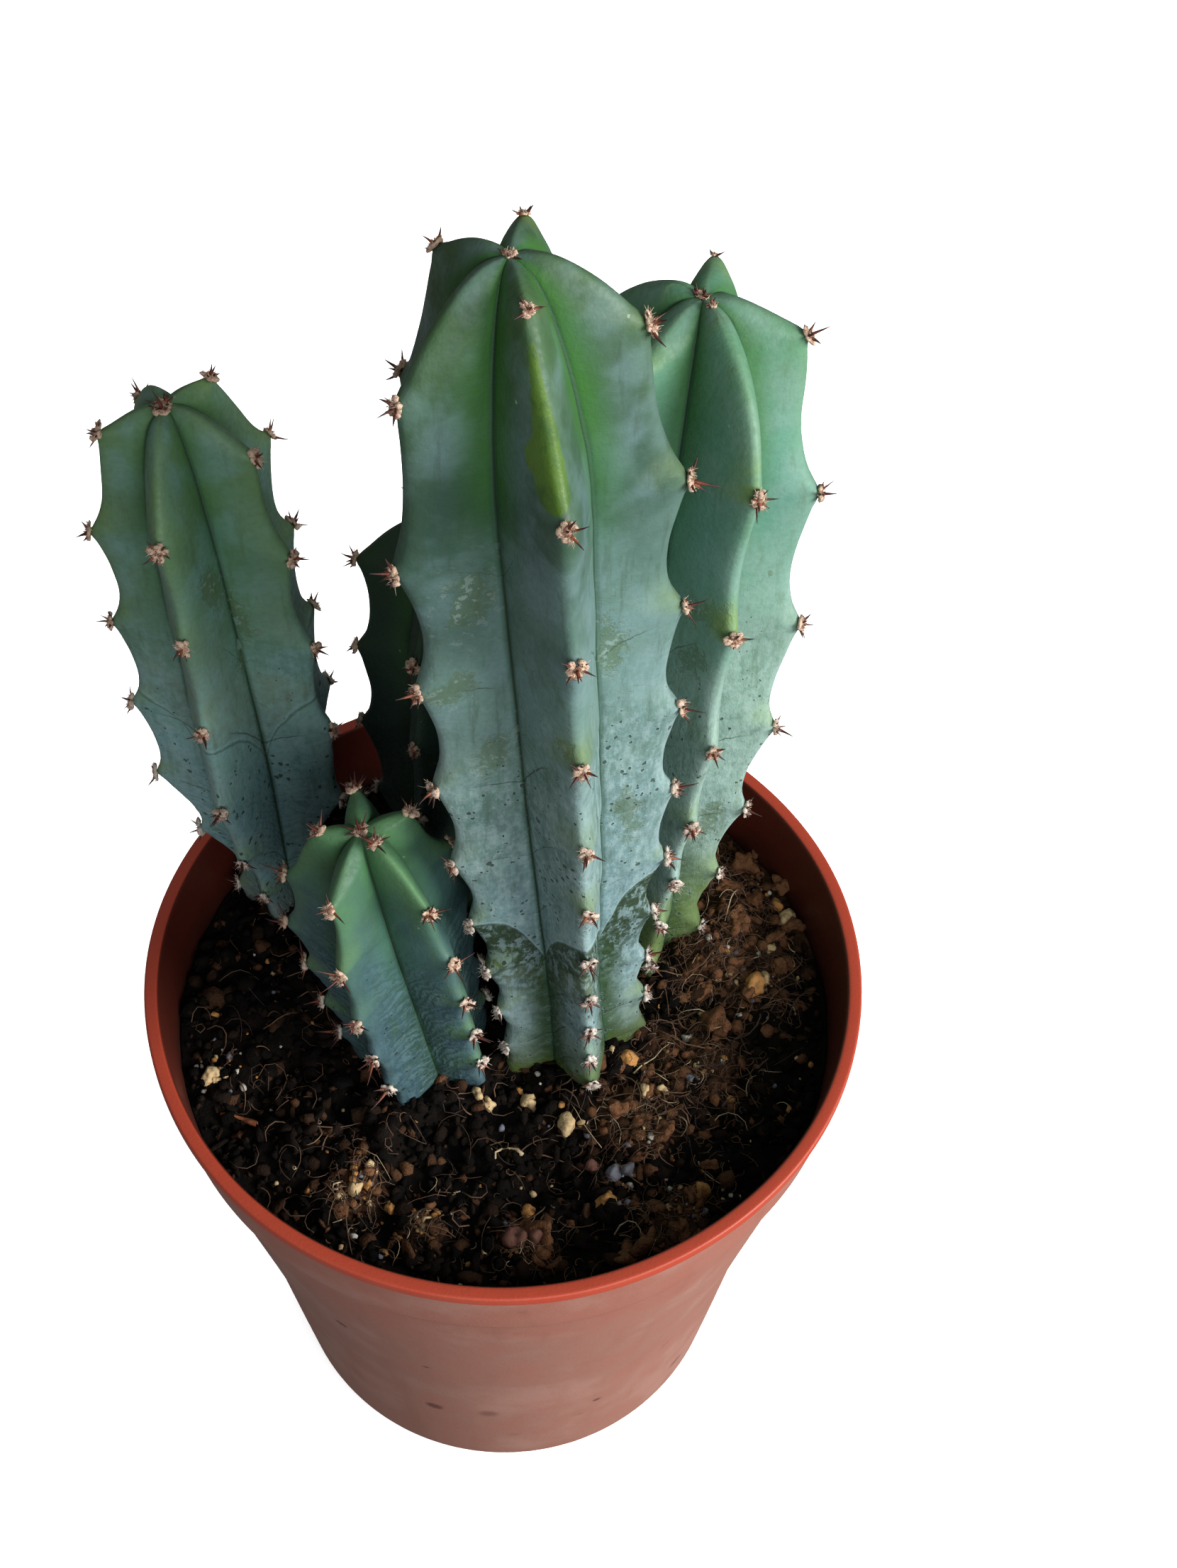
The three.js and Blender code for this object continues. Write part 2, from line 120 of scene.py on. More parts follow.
def unit(vectors):
    return vectors / np.maximum(np.linalg.norm(vectors, axis=-1, keepdims=True), 1e-12)


# numbers or arrays side by side along a new last axis
def stack(*parts):
    return np.stack(np.broadcast_arrays(*parts), axis=-1)


def join(*parts):
    return np.concatenate(parts)


def onCircle(angle):
    return stack(np.cos(angle), np.sin(angle))


# so many angles, evenly round a circle
def turns(count):
    return 2 * np.pi * np.arange(count) / count


# Value noise from -1 to 1: random numbers at the corners of a cubic lattice, blended with a cubic between
# them.
def latticeNoise(points, cell, seed):
    table = np.random.default_rng(seed).uniform(-1, 1, 4096)
    scaled = points / cell
    whole = np.floor(scaled).astype(np.int64)
    part = smoothStep(0, 1, scaled - whole)
    total = 0
    for corner in range(8):
        step = np.array([corner & 1, corner >> 1 & 1, corner >> 2 & 1])
        spot = whole + step
        weight = np.prod(np.where(step == 1, part, 1 - part), axis=-1)
        key = (spot[..., 0] * 73856093) ^ (spot[..., 1] * 19349663) ^ (spot[..., 2] * 83492791)
        total = total + weight * table[key & 4095]
    return total


# Several layers of noise, each half as coarse and half as strong as the one before.
def layeredNoise(points, cell, layers, seed):
    return sum(latticeNoise(points, cell / 2 ** i, seed + i) / 2 ** i for i in range(layers))


# Points in millimetres and a list of face arrays become one piece that rides on the part and stands for its
# node. A field has a value for each point, or for each of the equal forms that the points belong to.
def addPiece(name, points, faces, finish, node, fields=None):
    mesh = bpy.data.meshes.new(name)
    corners = join(*[each.ravel() for each in faces]).astype(np.int32)
    sizes = join(*[np.full(len(each), each.shape[1]) for each in faces])
    mesh.vertices.add(len(points))
    mesh.vertices.foreach_set("co", (points * mm).astype(np.float32).ravel())
    mesh.loops.add(len(corners))
    mesh.loops.foreach_set("vertex_index", corners)
    mesh.polygons.add(len(sizes))
    mesh.polygons.foreach_set("loop_start", (np.cumsum(sizes) - sizes).astype(np.int32))
    mesh.update(calc_edges=True)
    mesh.polygons.foreach_set("use_smooth", np.full(len(sizes), True))
    for field, values in (fields or {}).items():
        layer = mesh.attributes.new(field, "FLOAT", "POINT")
        layer.data.foreach_set("value", np.repeat(values, len(points) // len(values)).astype(np.float32))
    mesh.materials.append(finish)
    piece = addObject(name, mesh)
    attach(piece, "root")
    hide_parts(node)
    print(name, len(points), "points")
    return piece


# The faces of a grid of rows x columns that closes round its columns.
def gridQuads(rows, columns):
    index = np.arange(rows * columns).reshape(rows, columns)
    after = np.roll(index, -1, axis=1)
    return stack(index[:-1], index[1:], after[1:], after[:-1]).reshape(-1, 4)


# Such a grid with a pole point before its first row and one after its last.
def closeGrid(grid, firstPole, lastPole):
    rows, columns = grid.shape[:2]
    points = join([firstPole], grid.reshape(-1, 3), [lastPole])
    ring = 1 + np.arange(columns)
    after = np.roll(ring, -1)
    last = (rows - 1) * columns
    fans = join(stack(0, ring, after), stack(last + ring, len(points) - 1, last + after))
    return points, gridQuads(rows, columns) + 1, fans


# The points of many equal forms in one list, and the faces of one form repeated for each.
def repeatForm(points, *faces):
    offset = np.arange(len(points))[:, None, None] * points.shape[1]
    return points.reshape(-1, 3), [(each + offset).reshape(-1, each.shape[1]) for each in faces]


# Tubes along paths (tube, step, xyz) with a radius at each step, closed by a cap point at both ends.
def makeTubes(paths, radii, sides):
    count, steps = paths.shape[:2]
    along = unit(np.gradient(paths, axis=1))
    helper = np.where(np.abs(along[:, :1, 2:]) < 0.9, [0.0, 0.0, 1.0], [1.0, 0.0, 0.0])
    across = unit(np.cross(along, helper))
    up = np.cross(along, across)
    turn = turns(sides)[:, None]
    around = np.cos(turn) * across[:, :, None] + np.sin(turn) * up[:, :, None]
    rings = paths[:, :, None] + radii[:, :, None, None] * around
    caps = np.stack([paths[:, 0], paths[:, -1] + along[:, -1] * radii[:, -1:]], axis=1)
    points = np.concatenate([rings.reshape(count, -1, 3), caps], axis=1)
    quads = np.roll(gridQuads(steps, sides)[:, ::-1], 1, axis=1)
    ring = np.arange(sides)
    after = np.roll(ring, -1)
    last, cap = (steps - 1) * sides, steps * sides
    fans = join(stack(cap, after, ring), stack(cap + 1, last + ring, last + after))
    return repeatForm(points, quads, fans)


# Lumps: unit spheres of rows x columns points, roughened by noise, stretched by sizes, turned by frames,
# moved.
def makeLumps(centres, sizes, frames, rows, columns, roughness, seed):
    polar = np.pi * np.arange(1, rows + 1)[:, None] / (rows + 1)
    turn = turns(columns)
    ring = stack(np.sin(polar) * np.cos(turn), np.sin(polar) * np.sin(turn), np.cos(polar))
    base, quads, fans = closeGrid(ring, (0, 0, 1.0), (0, 0, -1.0))
    own = np.random.default_rng(seed).uniform(0, 500, (len(centres), 1, 3))
    swell = 1 + roughness * layeredNoise(base + own, 0.9, 2, seed)
    shaped = base * swell[..., None] * sizes[:, None]
    return repeatForm(centres[:, None] + np.einsum("nkj,nij->nki", shaped, frames), quads, fans)


# Random turning frames, one 3x3 matrix each: two random directions made square to each other, and their
# cross.
def randomFrames(count, random):
    first = unit(random.normal(size=(count, 3)))
    second = random.normal(size=(count, 3))
    second = unit(second - first * np.sum(first * second, axis=1, keepdims=True))
    return stack(first, second, np.cross(first, second))


# A colour from 0 to 255 as it looks on a screen, turned into the linear light that shaders use. A wire
# stays.
def paint(shade):
    if isinstance(shade, Wire):
        return shade
    share = np.array(shade) / 255
    linear = np.where(share <= 0.04045, share / 12.92, ((share + 0.055) / 1.055) ** 2.4)
    return (*linear.tolist(), 1.0)


# A socket that works in expressions: each operator adds one Math node.
class Wire:
    def __init__(self, finish, socket):
        self.finish = finish
        self.socket = socket

    # a Math node of these values, or of the wire itself
    def math(self, operation, *values):
        values = values or (self,)
        return self.finish.node("ShaderNodeMath", {"operation": operation}, dict(enumerate(values)))

    def __add__(self, other):
        return self.math("ADD", self, other)

    def __radd__(self, other):
        return self.math("ADD", other, self)

    def __sub__(self, other):
        return self.math("SUBTRACT", self, other)

    def __rsub__(self, other):
        return self.math("SUBTRACT", other, self)

    def __mul__(self, other):
        return self.math("MULTIPLY", self, other)

    def __rmul__(self, other):
        return self.math("MULTIPLY", other, self)

    def __abs__(self):
        return self.math("ABSOLUTE")

    # the colour output of the same node: three random numbers for noise, and one spot's own ones for spots
    def random(self):
        return Wire(self.finish, self.socket.node.outputs["Color"])


class Finish:
    def __init__(self, name):
        self.material = bpy.data.materials.new(name)
        self.material.use_nodes = True
        self.tree = self.material.node_tree
        self.tree.nodes.clear()
        self.place = self.node("ShaderNodeTexCoord", output="Object")

    # one node: its settings first, then the values or wires of its sockets, and the output that is used
    def node(self, kind, settings=None, inputs=None, output=0):
        made = self.tree.nodes.new(kind)
        for key, value in (settings or {}).items():
            setattr(made, key, value)
        for key, value in (inputs or {}).items():
            if isinstance(value, Wire):
                self.tree.links.new(value.socket, made.inputs[key])
            else:
                made.inputs[key].default_value = value
        return Wire(self, made.outputs[output])

    def vector(self, operation, *values, output=0):
        return self.node("ShaderNodeVectorMath", {"operation": operation}, dict(enumerate(values)), output)

    def field(self, name):
        return self.node("ShaderNodeAttribute", {"attribute_name": name}, output="Fac")

    # noise with features about this many millimetres across, stretched by the three shares
    def noise(self, size, detail=3.0, stretch=None, roughness=0.5):
        place = self.vector("MULTIPLY", self.place, stretch) if stretch else self.place
        return self.node("ShaderNodeTexNoise", {}, {
            "Vector": place, "Scale": 1 / (size * mm), "Detail": detail, "Roughness": roughness})

    # distance to the nearest of scattered spots, in shares of their spacing in millimetres
    def spots(self, spacing, stretch=(1, 1, 1), place=None):
        place = self.vector("MULTIPLY", place or self.place, stretch)
        return self.node("ShaderNodeTexVoronoi", {}, {"Vector": place, "Scale": 1 / (spacing * mm)})

    # 0 to 1 as a value goes from low to high, smoothly
    def fade(self, value, low, high):
        return self.node("ShaderNodeMapRange", {"interpolation_type": "SMOOTHSTEP"}, {
            "Value": value, "From Min": low, "From Max": high})

    # a colour with others laid over it in turn, each by its own share
    def layers(self, color, *pairs):
        for share, shade in pairs:
            inputs = {0: share, 6: paint(color), 7: paint(shade)}
            color = self.node("ShaderNodeMix", {"data_type": "RGBA"}, inputs, output=2)
        return color

    # the material itself, with a relief of this depth in millimetres
    def surface(self, color, roughness, relief=None, depth=0, specular=0.5):
        inputs = {"Base Color": color, "Roughness": roughness, "Specular IOR Level": specular}
        if relief is not None:
            bump = {"Height": relief, "Distance": depth * mm, "Strength": 1.0}
            inputs["Normal"] = self.node("ShaderNodeBump", {}, bump)
        shader = self.node("ShaderNodeBsdfPrincipled", {}, inputs)
        target = self.tree.nodes.new("ShaderNodeOutputMaterial")
        self.tree.links.new(shader.socket, target.inputs["Surface"])
        return self.material


# What all stems share, in millimetres, as the solids have it. rowsPerAreole and columnsPerRib set how fine
# they are.
plant = Settings(
    ribs=5, soilLevel=95.5, rootDepth=13.0, shortestGap=8.5,
    scallop=0.085, scallopFade=10.0, scallopSkew=1.45, firstSkew=1.2, domeRoundness=2.5,
    crestRounding=0.16, tipFlatness=0.6, flatness=0.85, flatFrom=45.0,
    furrow=0.51, furrowFootRise=0.1, furrowFootHeight=45.0, furrowTipHeight=30.0, straightFrom=(2.0, 7.0),
    rowsPerAreole=18, columnsPerRib=28, apexDip=1.1, apexDipWidth=3.0,
    furrowCrease=0.2, furrowCreaseWidth=0.05, seatRise=0.45, seatWidth=1.8,
)

# foot and tip are the ends of a stem's axis, angles are counter-clockwise from the front in degrees,
# ribReach widens each crest, swell is the stretch in which the foot's radius grows to the belly's,
# firstAreoles are distances from the tip along each rib, and each later gap is shorter by gapShrink.
# tipDrop deepens the furrows at the tip, straight is the share by which crests run straight between the tip
# and the first two areoles, waist is the waist's height and drop (-99 for none), frontBlush is the strength
# of three blushes on the front crest, tipTuft is the size of the areole on the tip, and chevron and wrinkle
# are the depths of creases.
stems = columns(dict(
    seed=(11, 24, 37, 41, 53),
    foot=((10.8, -3.4), (24.1, 18.9), (-39.4, 26.4), (-9, 29), (-12.8, -7.0)),
    tip=((1.1, -11.5, 267.0), (26.2, 23.2, 233.0), (-44.4, 18.4, 218.6), (-7.5, 27, 189.5),
         (-20.3, -14.5, 168.2)),
    turn=(16, 4.4, -8.9, -22, -16.7),
    twist=(-1.9, 16.4, 4.6, 0, -6.4),
    ribShift=((0, -2.2, 11, 0.3, 4.9), (0, -14, 3.5, -2.8, 9.2), (0, -1.9, -3.2, -4.1, 3.5), (0, 0, 0, 0, 0),
              (0, -6.1, -5.9, -4.4, 2.5)),
    ribReach=((1.04, 0.965, 0.99, 0.925, 0.985), (1.115, 0.925, 0.99, 0.9, 0.84),
              (1.06, 1.01, 1, 0.93, 0.925), (1, 1, 1, 1, 1), (1.03, 0.96, 0.88, 1, 0.99)),
    footCrest=(13.3, 11.4, 7.8, 10, 11.8),
    bellyCrest=(19.0, 20.7, 17.3, 15, 15.4),
    swell=((0.05, 0.51), (-0.04, 0.55), (0, 0.41), (0, 0.5), (-0.31, 0.65)),
    taper=(-0.08, 0.08, 0.19, 0.08, 0.27),
    dome=(38.9, 15.5, 14.9, 15, 7.7),
    tipDrop=(0.08, 0.13, 0.14, 0.13, 0.2),
    straight=(0.15, 0.45, 0.45, 0.4, 0.5),
    firstAreoles=((7.6, 18.9, 7.9, 12.7, 22.1), (2.2, 15.8, 10.2, 1.0, 18.0), (1.1, 14.2, 7.7, 20.6, 10.3),
                  (8, 16, 4, 12, 20), (12.1, 3.3, 8.7, 7.4, 6.0)),
    gap=(25.3, 27.2, 19.8, 20, 15),
    gapShrink=(1.86, 2.2, 0, 0.8, 0.77),
    waist=((52.5, 16.5), (-99, 0), (66, 14), (-99, 0), (-99, 0)),
    frontBlush=((0.1, 0.0, 0.9), (0.95, 1.0, 0.2), (0.3, 0.2, 0.1), (0, 0, 0), (0.5, 0.2, 0)),
    tipTuft=(0.6, 0.45, 0.9, 0.6, 0.85),
    spine=(2.9, 2.7, 2.7, 2.7, 3.8),
    chevron=(0.3, 0.25, 0.3, 0.25, 0.3),
    wrinkle=(0.22, 0.2, 0.25, 0.2, 0.3),
))


# The crest's radius at a height, without scallops: the foot swells to the belly, narrows by the taper above
# it, and is closed by a dome at the tip and a round root end below the soil.
def crestRadius(stem, height):
    share = height / stem.length
    start, end = stem.swell
    body = between(stem.footCrest, stem.bellyCrest, smoothStep(start, end, share))
    above = clamp((share - end) / (1 - end))
    fromTip = clamp((stem.length - height) / stem.dome)
    dome = np.sqrt(1 - (1 - fromTip) ** plant.domeRoundness)
    below = clamp(-height / plant.rootDepth)
    return body * (1 - stem.taper * above) * dome * np.sqrt(1 - below ** 2)


# Works out what a stem's formulas need: its axis, the turn that leans +Z onto it, height against distance
# along the crest from the tip, and the distance of every areole of every rib.
def surveyStem(stem):
    stem.origin = np.array([*stem.foot, plant.soilLevel])
    axis = np.array(stem.tip) - stem.origin
    stem.length = float(np.linalg.norm(axis))
    lean = axis / stem.length
    skew = np.array([[0, 0, lean[0]], [0, 0, lean[1]], [-lean[0], -lean[1], 0]])
    stem.turned = np.eye(3) + skew + skew @ skew / (1 + lean[2])
    stem.apex = stem.origin + stem.turned[:, 2] * (stem.length - plant.apexDip)
    ease = 0.5 - 0.5 * np.cos(np.pi * np.arange(601) / 600)
    heights = stem.length - (stem.length + plant.rootDepth) * ease
    steps = np.hypot(np.diff(heights), np.diff(crestRadius(stem, heights)))
    stem.crestHeights = heights
    stem.crestDistances = join([0], np.cumsum(steps))
    total = stem.crestDistances[-1]
    gaps = np.maximum(plant.shortestGap, stem.gap - stem.gapShrink * np.arange(60))
    runs = join([0], np.cumsum(gaps))
    lastWhole = int(np.sum(runs < total - 0.3 * plant.shortestGap - max(stem.firstAreoles)))
    stem.gaps = join([stem.gap], gaps)
    stem.steps = lastWhole + 1
    stem.areoles = [join([0], first + runs[:lastWhole], [total]) for first in stem.firstAreoles]


# Heights on the given ribs at a count of areoles from the tip, and the gap that each count lies in.
def ribHeight(stem, rib, count):
    distances = [np.interp(count, np.arange(stem.steps + 1), row) for row in stem.areoles]
    heights = np.stack([np.interp(row, stem.crestDistances, stem.crestHeights) for row in distances])
    return np.take_along_axis(heights, rib[None], 0)[0]


def gapAt(stem, count):
    return stem.gaps[np.clip(np.ceil(count).astype(int) - 1, 0, 60)]


# The small relief of the skin in millimetres, outwards: scallop-side chevron creases that run down from the
# areoles to the furrows, a sharp furrow line, a seat under each areole, broad unevenness and foot wrinkles.
def skinRelief(stem, across, count, height, local):
    gap = gapAt(stem, count)
    lowered = count - 0.5 * across
    offset = np.abs(lowered - np.round(lowered)) * gap
    flank = np.sin(np.pi * clamp(across)) * smoothStep(1.2, 2.2, count)
    relief = -stem.chevron * bell(offset, 0.9) * flank
    relief += 0.9 * stem.chevron * (0.5 - 0.5 * np.cos(2 * np.pi * lowered)) * flank
    relief -= plant.furrowCrease * bell(1 - across, plant.furrowCreaseWidth)
    fromAreole = np.hypot((count - np.round(count)) * gap, across * 0.6 * crestRadius(stem, height))
    relief += plant.seatRise * bell(fromAreole, plant.seatWidth) * ((count > 0.5) & (height > 1))
    relief += 0.3 * latticeNoise(local, 15.0, stem.seed) + 0.09 * latticeNoise(local, 4.0, stem.seed + 1)
    foot = 1 - smoothStep(5, 45, height)
    relief += stem.wrinkle * foot * layeredNoise(local * np.array([1.0, 1.0, 2.6]), 3.6, 2, stem.seed + 2)
    return relief * smoothStep(0, 3, stem.length - height)


# The radius across a rib, from its crest to its furrow: the angle is rounded off near the crest by a
# hyperbola, and the flank lies between a flat plane and a radius that falls evenly with the angle, flatter
# below the tip.
def flankRadius(stem, crest, furrow, across, height):
    rounding = plant.crestRounding
    share = (np.hypot(across, rounding) - rounding) / (np.hypot(1, rounding) - rounding)
    half = np.pi / plant.ribs
    crestPart, furrowPart = crest * np.sin(share * half), furrow * np.sin((1 - share) * half)
    flat = crest * furrow * np.sin(half) / (crestPart + furrowPart)
    low = smoothStep(0, plant.flatFrom, stem.length - height)
    return between(between(crest, furrow, share), flat, between(plant.tipFlatness, plant.flatness, low))


# How far the crest lies inside the smooth curve where it runs straighter: between the tip and its first
# areole, and between that one and the second unless the first is right at the tip.
def crestSag(stem, rib, count):
    early = np.minimum(count, 1.9999)
    whole = np.floor(early)
    top, end, height = (ribHeight(stem, rib, each) for each in (whole, whole + 1, early))
    chord = between(crestRadius(stem, top), crestRadius(stem, end), (top - height) / (top - end))
    fromFirst = smoothStep(*plant.straightFrom, np.array(stem.firstAreoles, float)[rib])
    share = np.where(early < 1, 1, fromFirst) * (count < 2)
    return stem.straight * share * np.maximum(0, crestRadius(stem, height) - chord)


# Points of the skin. side runs across the rib: 0 on its crest, 1 in the furrow after it and -1 before it.
# The height lies between those of the rib and its neighbour, and between two areoles a scallop dips into
# the crest.
def skinPoints(stem, rib, side, count):
    rib, side, count = np.broadcast_arrays(rib, np.asarray(side, float), np.asarray(count, float))
    across, toward = np.abs(side), np.sign(side).astype(int)
    nextRib = (rib + toward) % plant.ribs
    own, other = ribHeight(stem, rib, count), ribHeight(stem, nextRib, count)
    height = between(own, (own + other) / 2, across)
    smooth = crestRadius(stem, height)
    share = (count % 1) ** np.where(count < 2, plant.firstSkew, plant.scallopSkew)
    dip = plant.scallop * gapAt(stem, count) * 4 * share * (1 - share)
    dip *= smoothStep(0, plant.scallopFade, height)
    crest = smooth * np.array(stem.ribReach)[rib] - np.where(count > 1, dip, 0) - crestSag(stem, rib, count)
    furrow = (plant.furrow + plant.furrowFootRise * (1 - smoothStep(0, plant.furrowFootHeight, height))
              - stem.tipDrop * (1 - smoothStep(0, plant.furrowTipHeight, stem.length - height)))
    radius = flankRadius(stem, crest, smooth * furrow, across, height)
    shift = np.array(stem.ribShift, float)
    degrees = stem.turn + rib * 360 / plant.ribs + shift[rib] + stem.twist * height / stem.length
    degrees = degrees + across / 2 * (toward * 360 / plant.ribs + shift[nextRib] - shift[rib])
    angle = np.radians(degrees)

    def upright(radius, height):
        return stack(radius * np.sin(angle), -radius * np.cos(angle), height)

    radius = radius + skinRelief(stem, across, count, height, upright(radius, height))
    dipped = height - plant.apexDip * bell(radius, plant.apexDipWidth) * (height > 20)
    return upright(radius, dipped) @ stem.turned.T + stem.origin, height


# A stem's skin as a grid of points round its ribs. Its fields are masks and places in millimetres for the
# finish; the waist is the line where one season's growth ended, at a height on the crests and lower in the
# furrows by a drop times a power of the share across.
def buildSkin(name, stem, finish):
    perRib = plant.columnsPerRib
    side = np.tile(2 * (np.arange(perRib) + 1) / perRib - 1, plant.ribs)[None]
    rib = np.repeat(np.arange(plant.ribs), perRib)[None]
    count = np.arange(1, stem.steps * plant.rowsPerAreole)[:, None] / plant.rowsPerAreole
    grid, height = skinPoints(stem, rib, side, count)
    points, quads, fans = closeGrid(grid, stem.apex, stem.origin - stem.turned[:, 2] * plant.rootDepth)
    gap, across = gapAt(stem, count), np.abs(side)
    lowered = count - 0.5 * across
    aside = side * np.pi / plant.ribs * 0.8 * crestRadius(stem, height)
    waistHeight, waistDrop = stem.waist
    fields = {
        "across": (across, 0, 0),
        "height": (height, stem.length, -plant.rootDepth),
        "fromTip": (stem.length - height, 0, 200),
        "crease": ((lowered - np.round(lowered)) * gap, 9, 9),
        "arc": ((count - 0.5 * across ** 1.5) * gap, 0, 0),
        "waist": (height - (waistHeight - waistDrop * across ** 1.9), 99, -99),
        "blush": (blushMask(stem, rib, count, gap, aside), 0, 0),
        "bruise": (bruiseMask(name, rib, count, gap, aside), 0, 0),
        "scrape": (scrapeMask(name, rib, side, count), 0, 0),
    }
    for field, (values, first, last) in fields.items():
        fields[field] = join([first], np.broadcast_to(values, height.shape).ravel(), [last])
    addPiece(name + "_skin", points, [quads, fans], finish, "stem_" + name, fields)


# Yellow-green blushes on the crest just above some areoles: bells in millimetres, with a drawn strength for
# each.
def blushMask(stem, rib, count, gap, aside):
    strength = np.random.default_rng(stem.seed + 300).uniform(-0.5, 0.9, (plant.ribs, 80))
    strength[0, 2:5] = stem.frontBlush
    following = np.ceil(count).astype(int)
    above = (following - count) * gap
    return clamp(strength[rib, following]) * bell(above - 1.5, 3.2) * bell(aside, 2.6)


# Bruised spots, each with its rib, side in millimetres, areole count, half width and half height in
# millimetres.
bruises = {
    "main": ((4, 5.0, 2.5, 4.5, 7), (4, 6.0, 3.95, 3.5, 6), (1, -7.5, 3.3, 2.5, 9), (0, -1.6, 3.86, 1.8, 2.2),
             (4, 2.6, 3.1, 2.5, 4), (1, -5.0, 5.2, 2.5, 9)),
    "right": ((0, -2.8, 2.9, 3.4, 2.8), (1, -3.5, 2.67, 0.7, 1.1),
              (0, -3.5, 3.3, 2.8, 4), (1, -4, 5.3, 2.5, 9)),
    "left": ((1, -7.5, 2.9, 3, 7), (0, 5.0, 2.6, 3, 6), (0, 8.0, 3.4, 2.5, 5)),
}


def bruiseMask(name, rib, count, gap, aside):
    total = 0 * (count + aside)
    for ownRib, middle, spot, wide, tall in bruises.get(name, ()):
        distance = np.hypot((aside - middle) / wide, (count - spot) * gap / tall)
        total = np.maximum(total, (rib == ownRib) * bell(distance, 1.0))
    return total


# The scraped streak on the main stem's front rib between its first two areoles: a long bell beside the
# crest, wider at its lower end, with a lobe on its left.
scrapeSpot = Settings(rib=0, top=1.1, end=1.98, width=0.08, lowWidth=0.2, side=-0.07, endSide=-0.05,
                      lobeSide=-0.22, lobeCount=1.68, lobeWidth=0.13, lobeHeight=0.1)


def scrapeMask(name, rib, side, count):
    share = clamp((count - scrapeSpot.top) / (scrapeSpot.end - scrapeSpot.top))
    width = between(scrapeSpot.width, scrapeSpot.lowWidth, np.sin(np.pi * share ** 2.2))
    inside = smoothStep(0, 0.12, share) * (1 - smoothStep(0.9, 1, share))
    streak = inside * bell(side - between(scrapeSpot.side, scrapeSpot.endSide, share ** 2), width)
    lobe = bell(np.hypot((side - scrapeSpot.lobeSide) / scrapeSpot.lobeWidth,
                         (count - scrapeSpot.lobeCount) / scrapeSpot.lobeHeight), 1.0)
    return (name == "main") * (rib == scrapeSpot.rib) * np.maximum(streak, lobe)


# Waxy blue-green skin: green at the tip, bluer below it, and an olive or yellow-green foot. footTop is
# where the foot's colour ends and pitTop where the pits thin out, in millimetres above the soil. crest is
# the colour of a band along the upper crests and crestShare its strength. pits, stain, arcs and hollow are
# the strengths of the pits, of the olive stain at the waist, of the arched wrinkles low down and of the
# green furrows near the tip.
skinLook = columns(dict(
    young=((50, 82, 46), (86, 134, 106), (86, 123, 84), (44, 66, 46), (80, 126, 74)),
    upper=((46, 75, 63), (92, 140, 124), (86, 122, 98), (42, 62, 48), (76, 118, 98)),
    # middle and low are partly painted light: the right and left stems' are raised to look as bright as lit
    # skin, and the small stem's low is darkened as painted shade from the pot and the main stem; the rest is
    # own colour
    middle=((96, 126, 118), (114, 148, 130), (100, 140, 120), (40, 60, 48), (62, 98, 92)),
    low=((116, 145, 152), (128, 154, 148), (116, 158, 166), (46, 64, 58), (46, 72, 84)),
    bloom=((148, 172, 172), (150, 176, 168), (134, 164, 164), (54, 74, 66), (80, 107, 113)),
    olive=((36, 52, 24), (76, 98, 54), (64, 82, 46), (44, 60, 38), (60, 88, 44)),
    foot=((78, 92, 66), (84, 104, 34), (112, 108, 90), (60, 70, 50), (64, 90, 70)),
    blush=((96, 118, 50), (120, 146, 64), (104, 132, 62), (50, 70, 40), (92, 130, 62)),
    crest=((80, 112, 76), (108, 146, 102), (98, 130, 82), (52, 74, 48), (92, 130, 74)),
    crestShare=(0.3, 0.3, 0.6, 0.3, 0.2),
    footTop=(34, 44, 26, 24, 10),
    pitTop=(105, 90, 78, 60, 55),
    pits=(1.0, 0.8, 1.0, 0.8, 0.8),
    oliveSide=(-1, 1, 1, 1, 1),
    stain=(1.0, 0.7, 0.3, 0.5, 0.5),
    arcs=(0.15, 0.15, 0.4, 0.2, 1.0),
    hollow=(0.85, 0.7, 0.4, 0.5, 0.25),
))


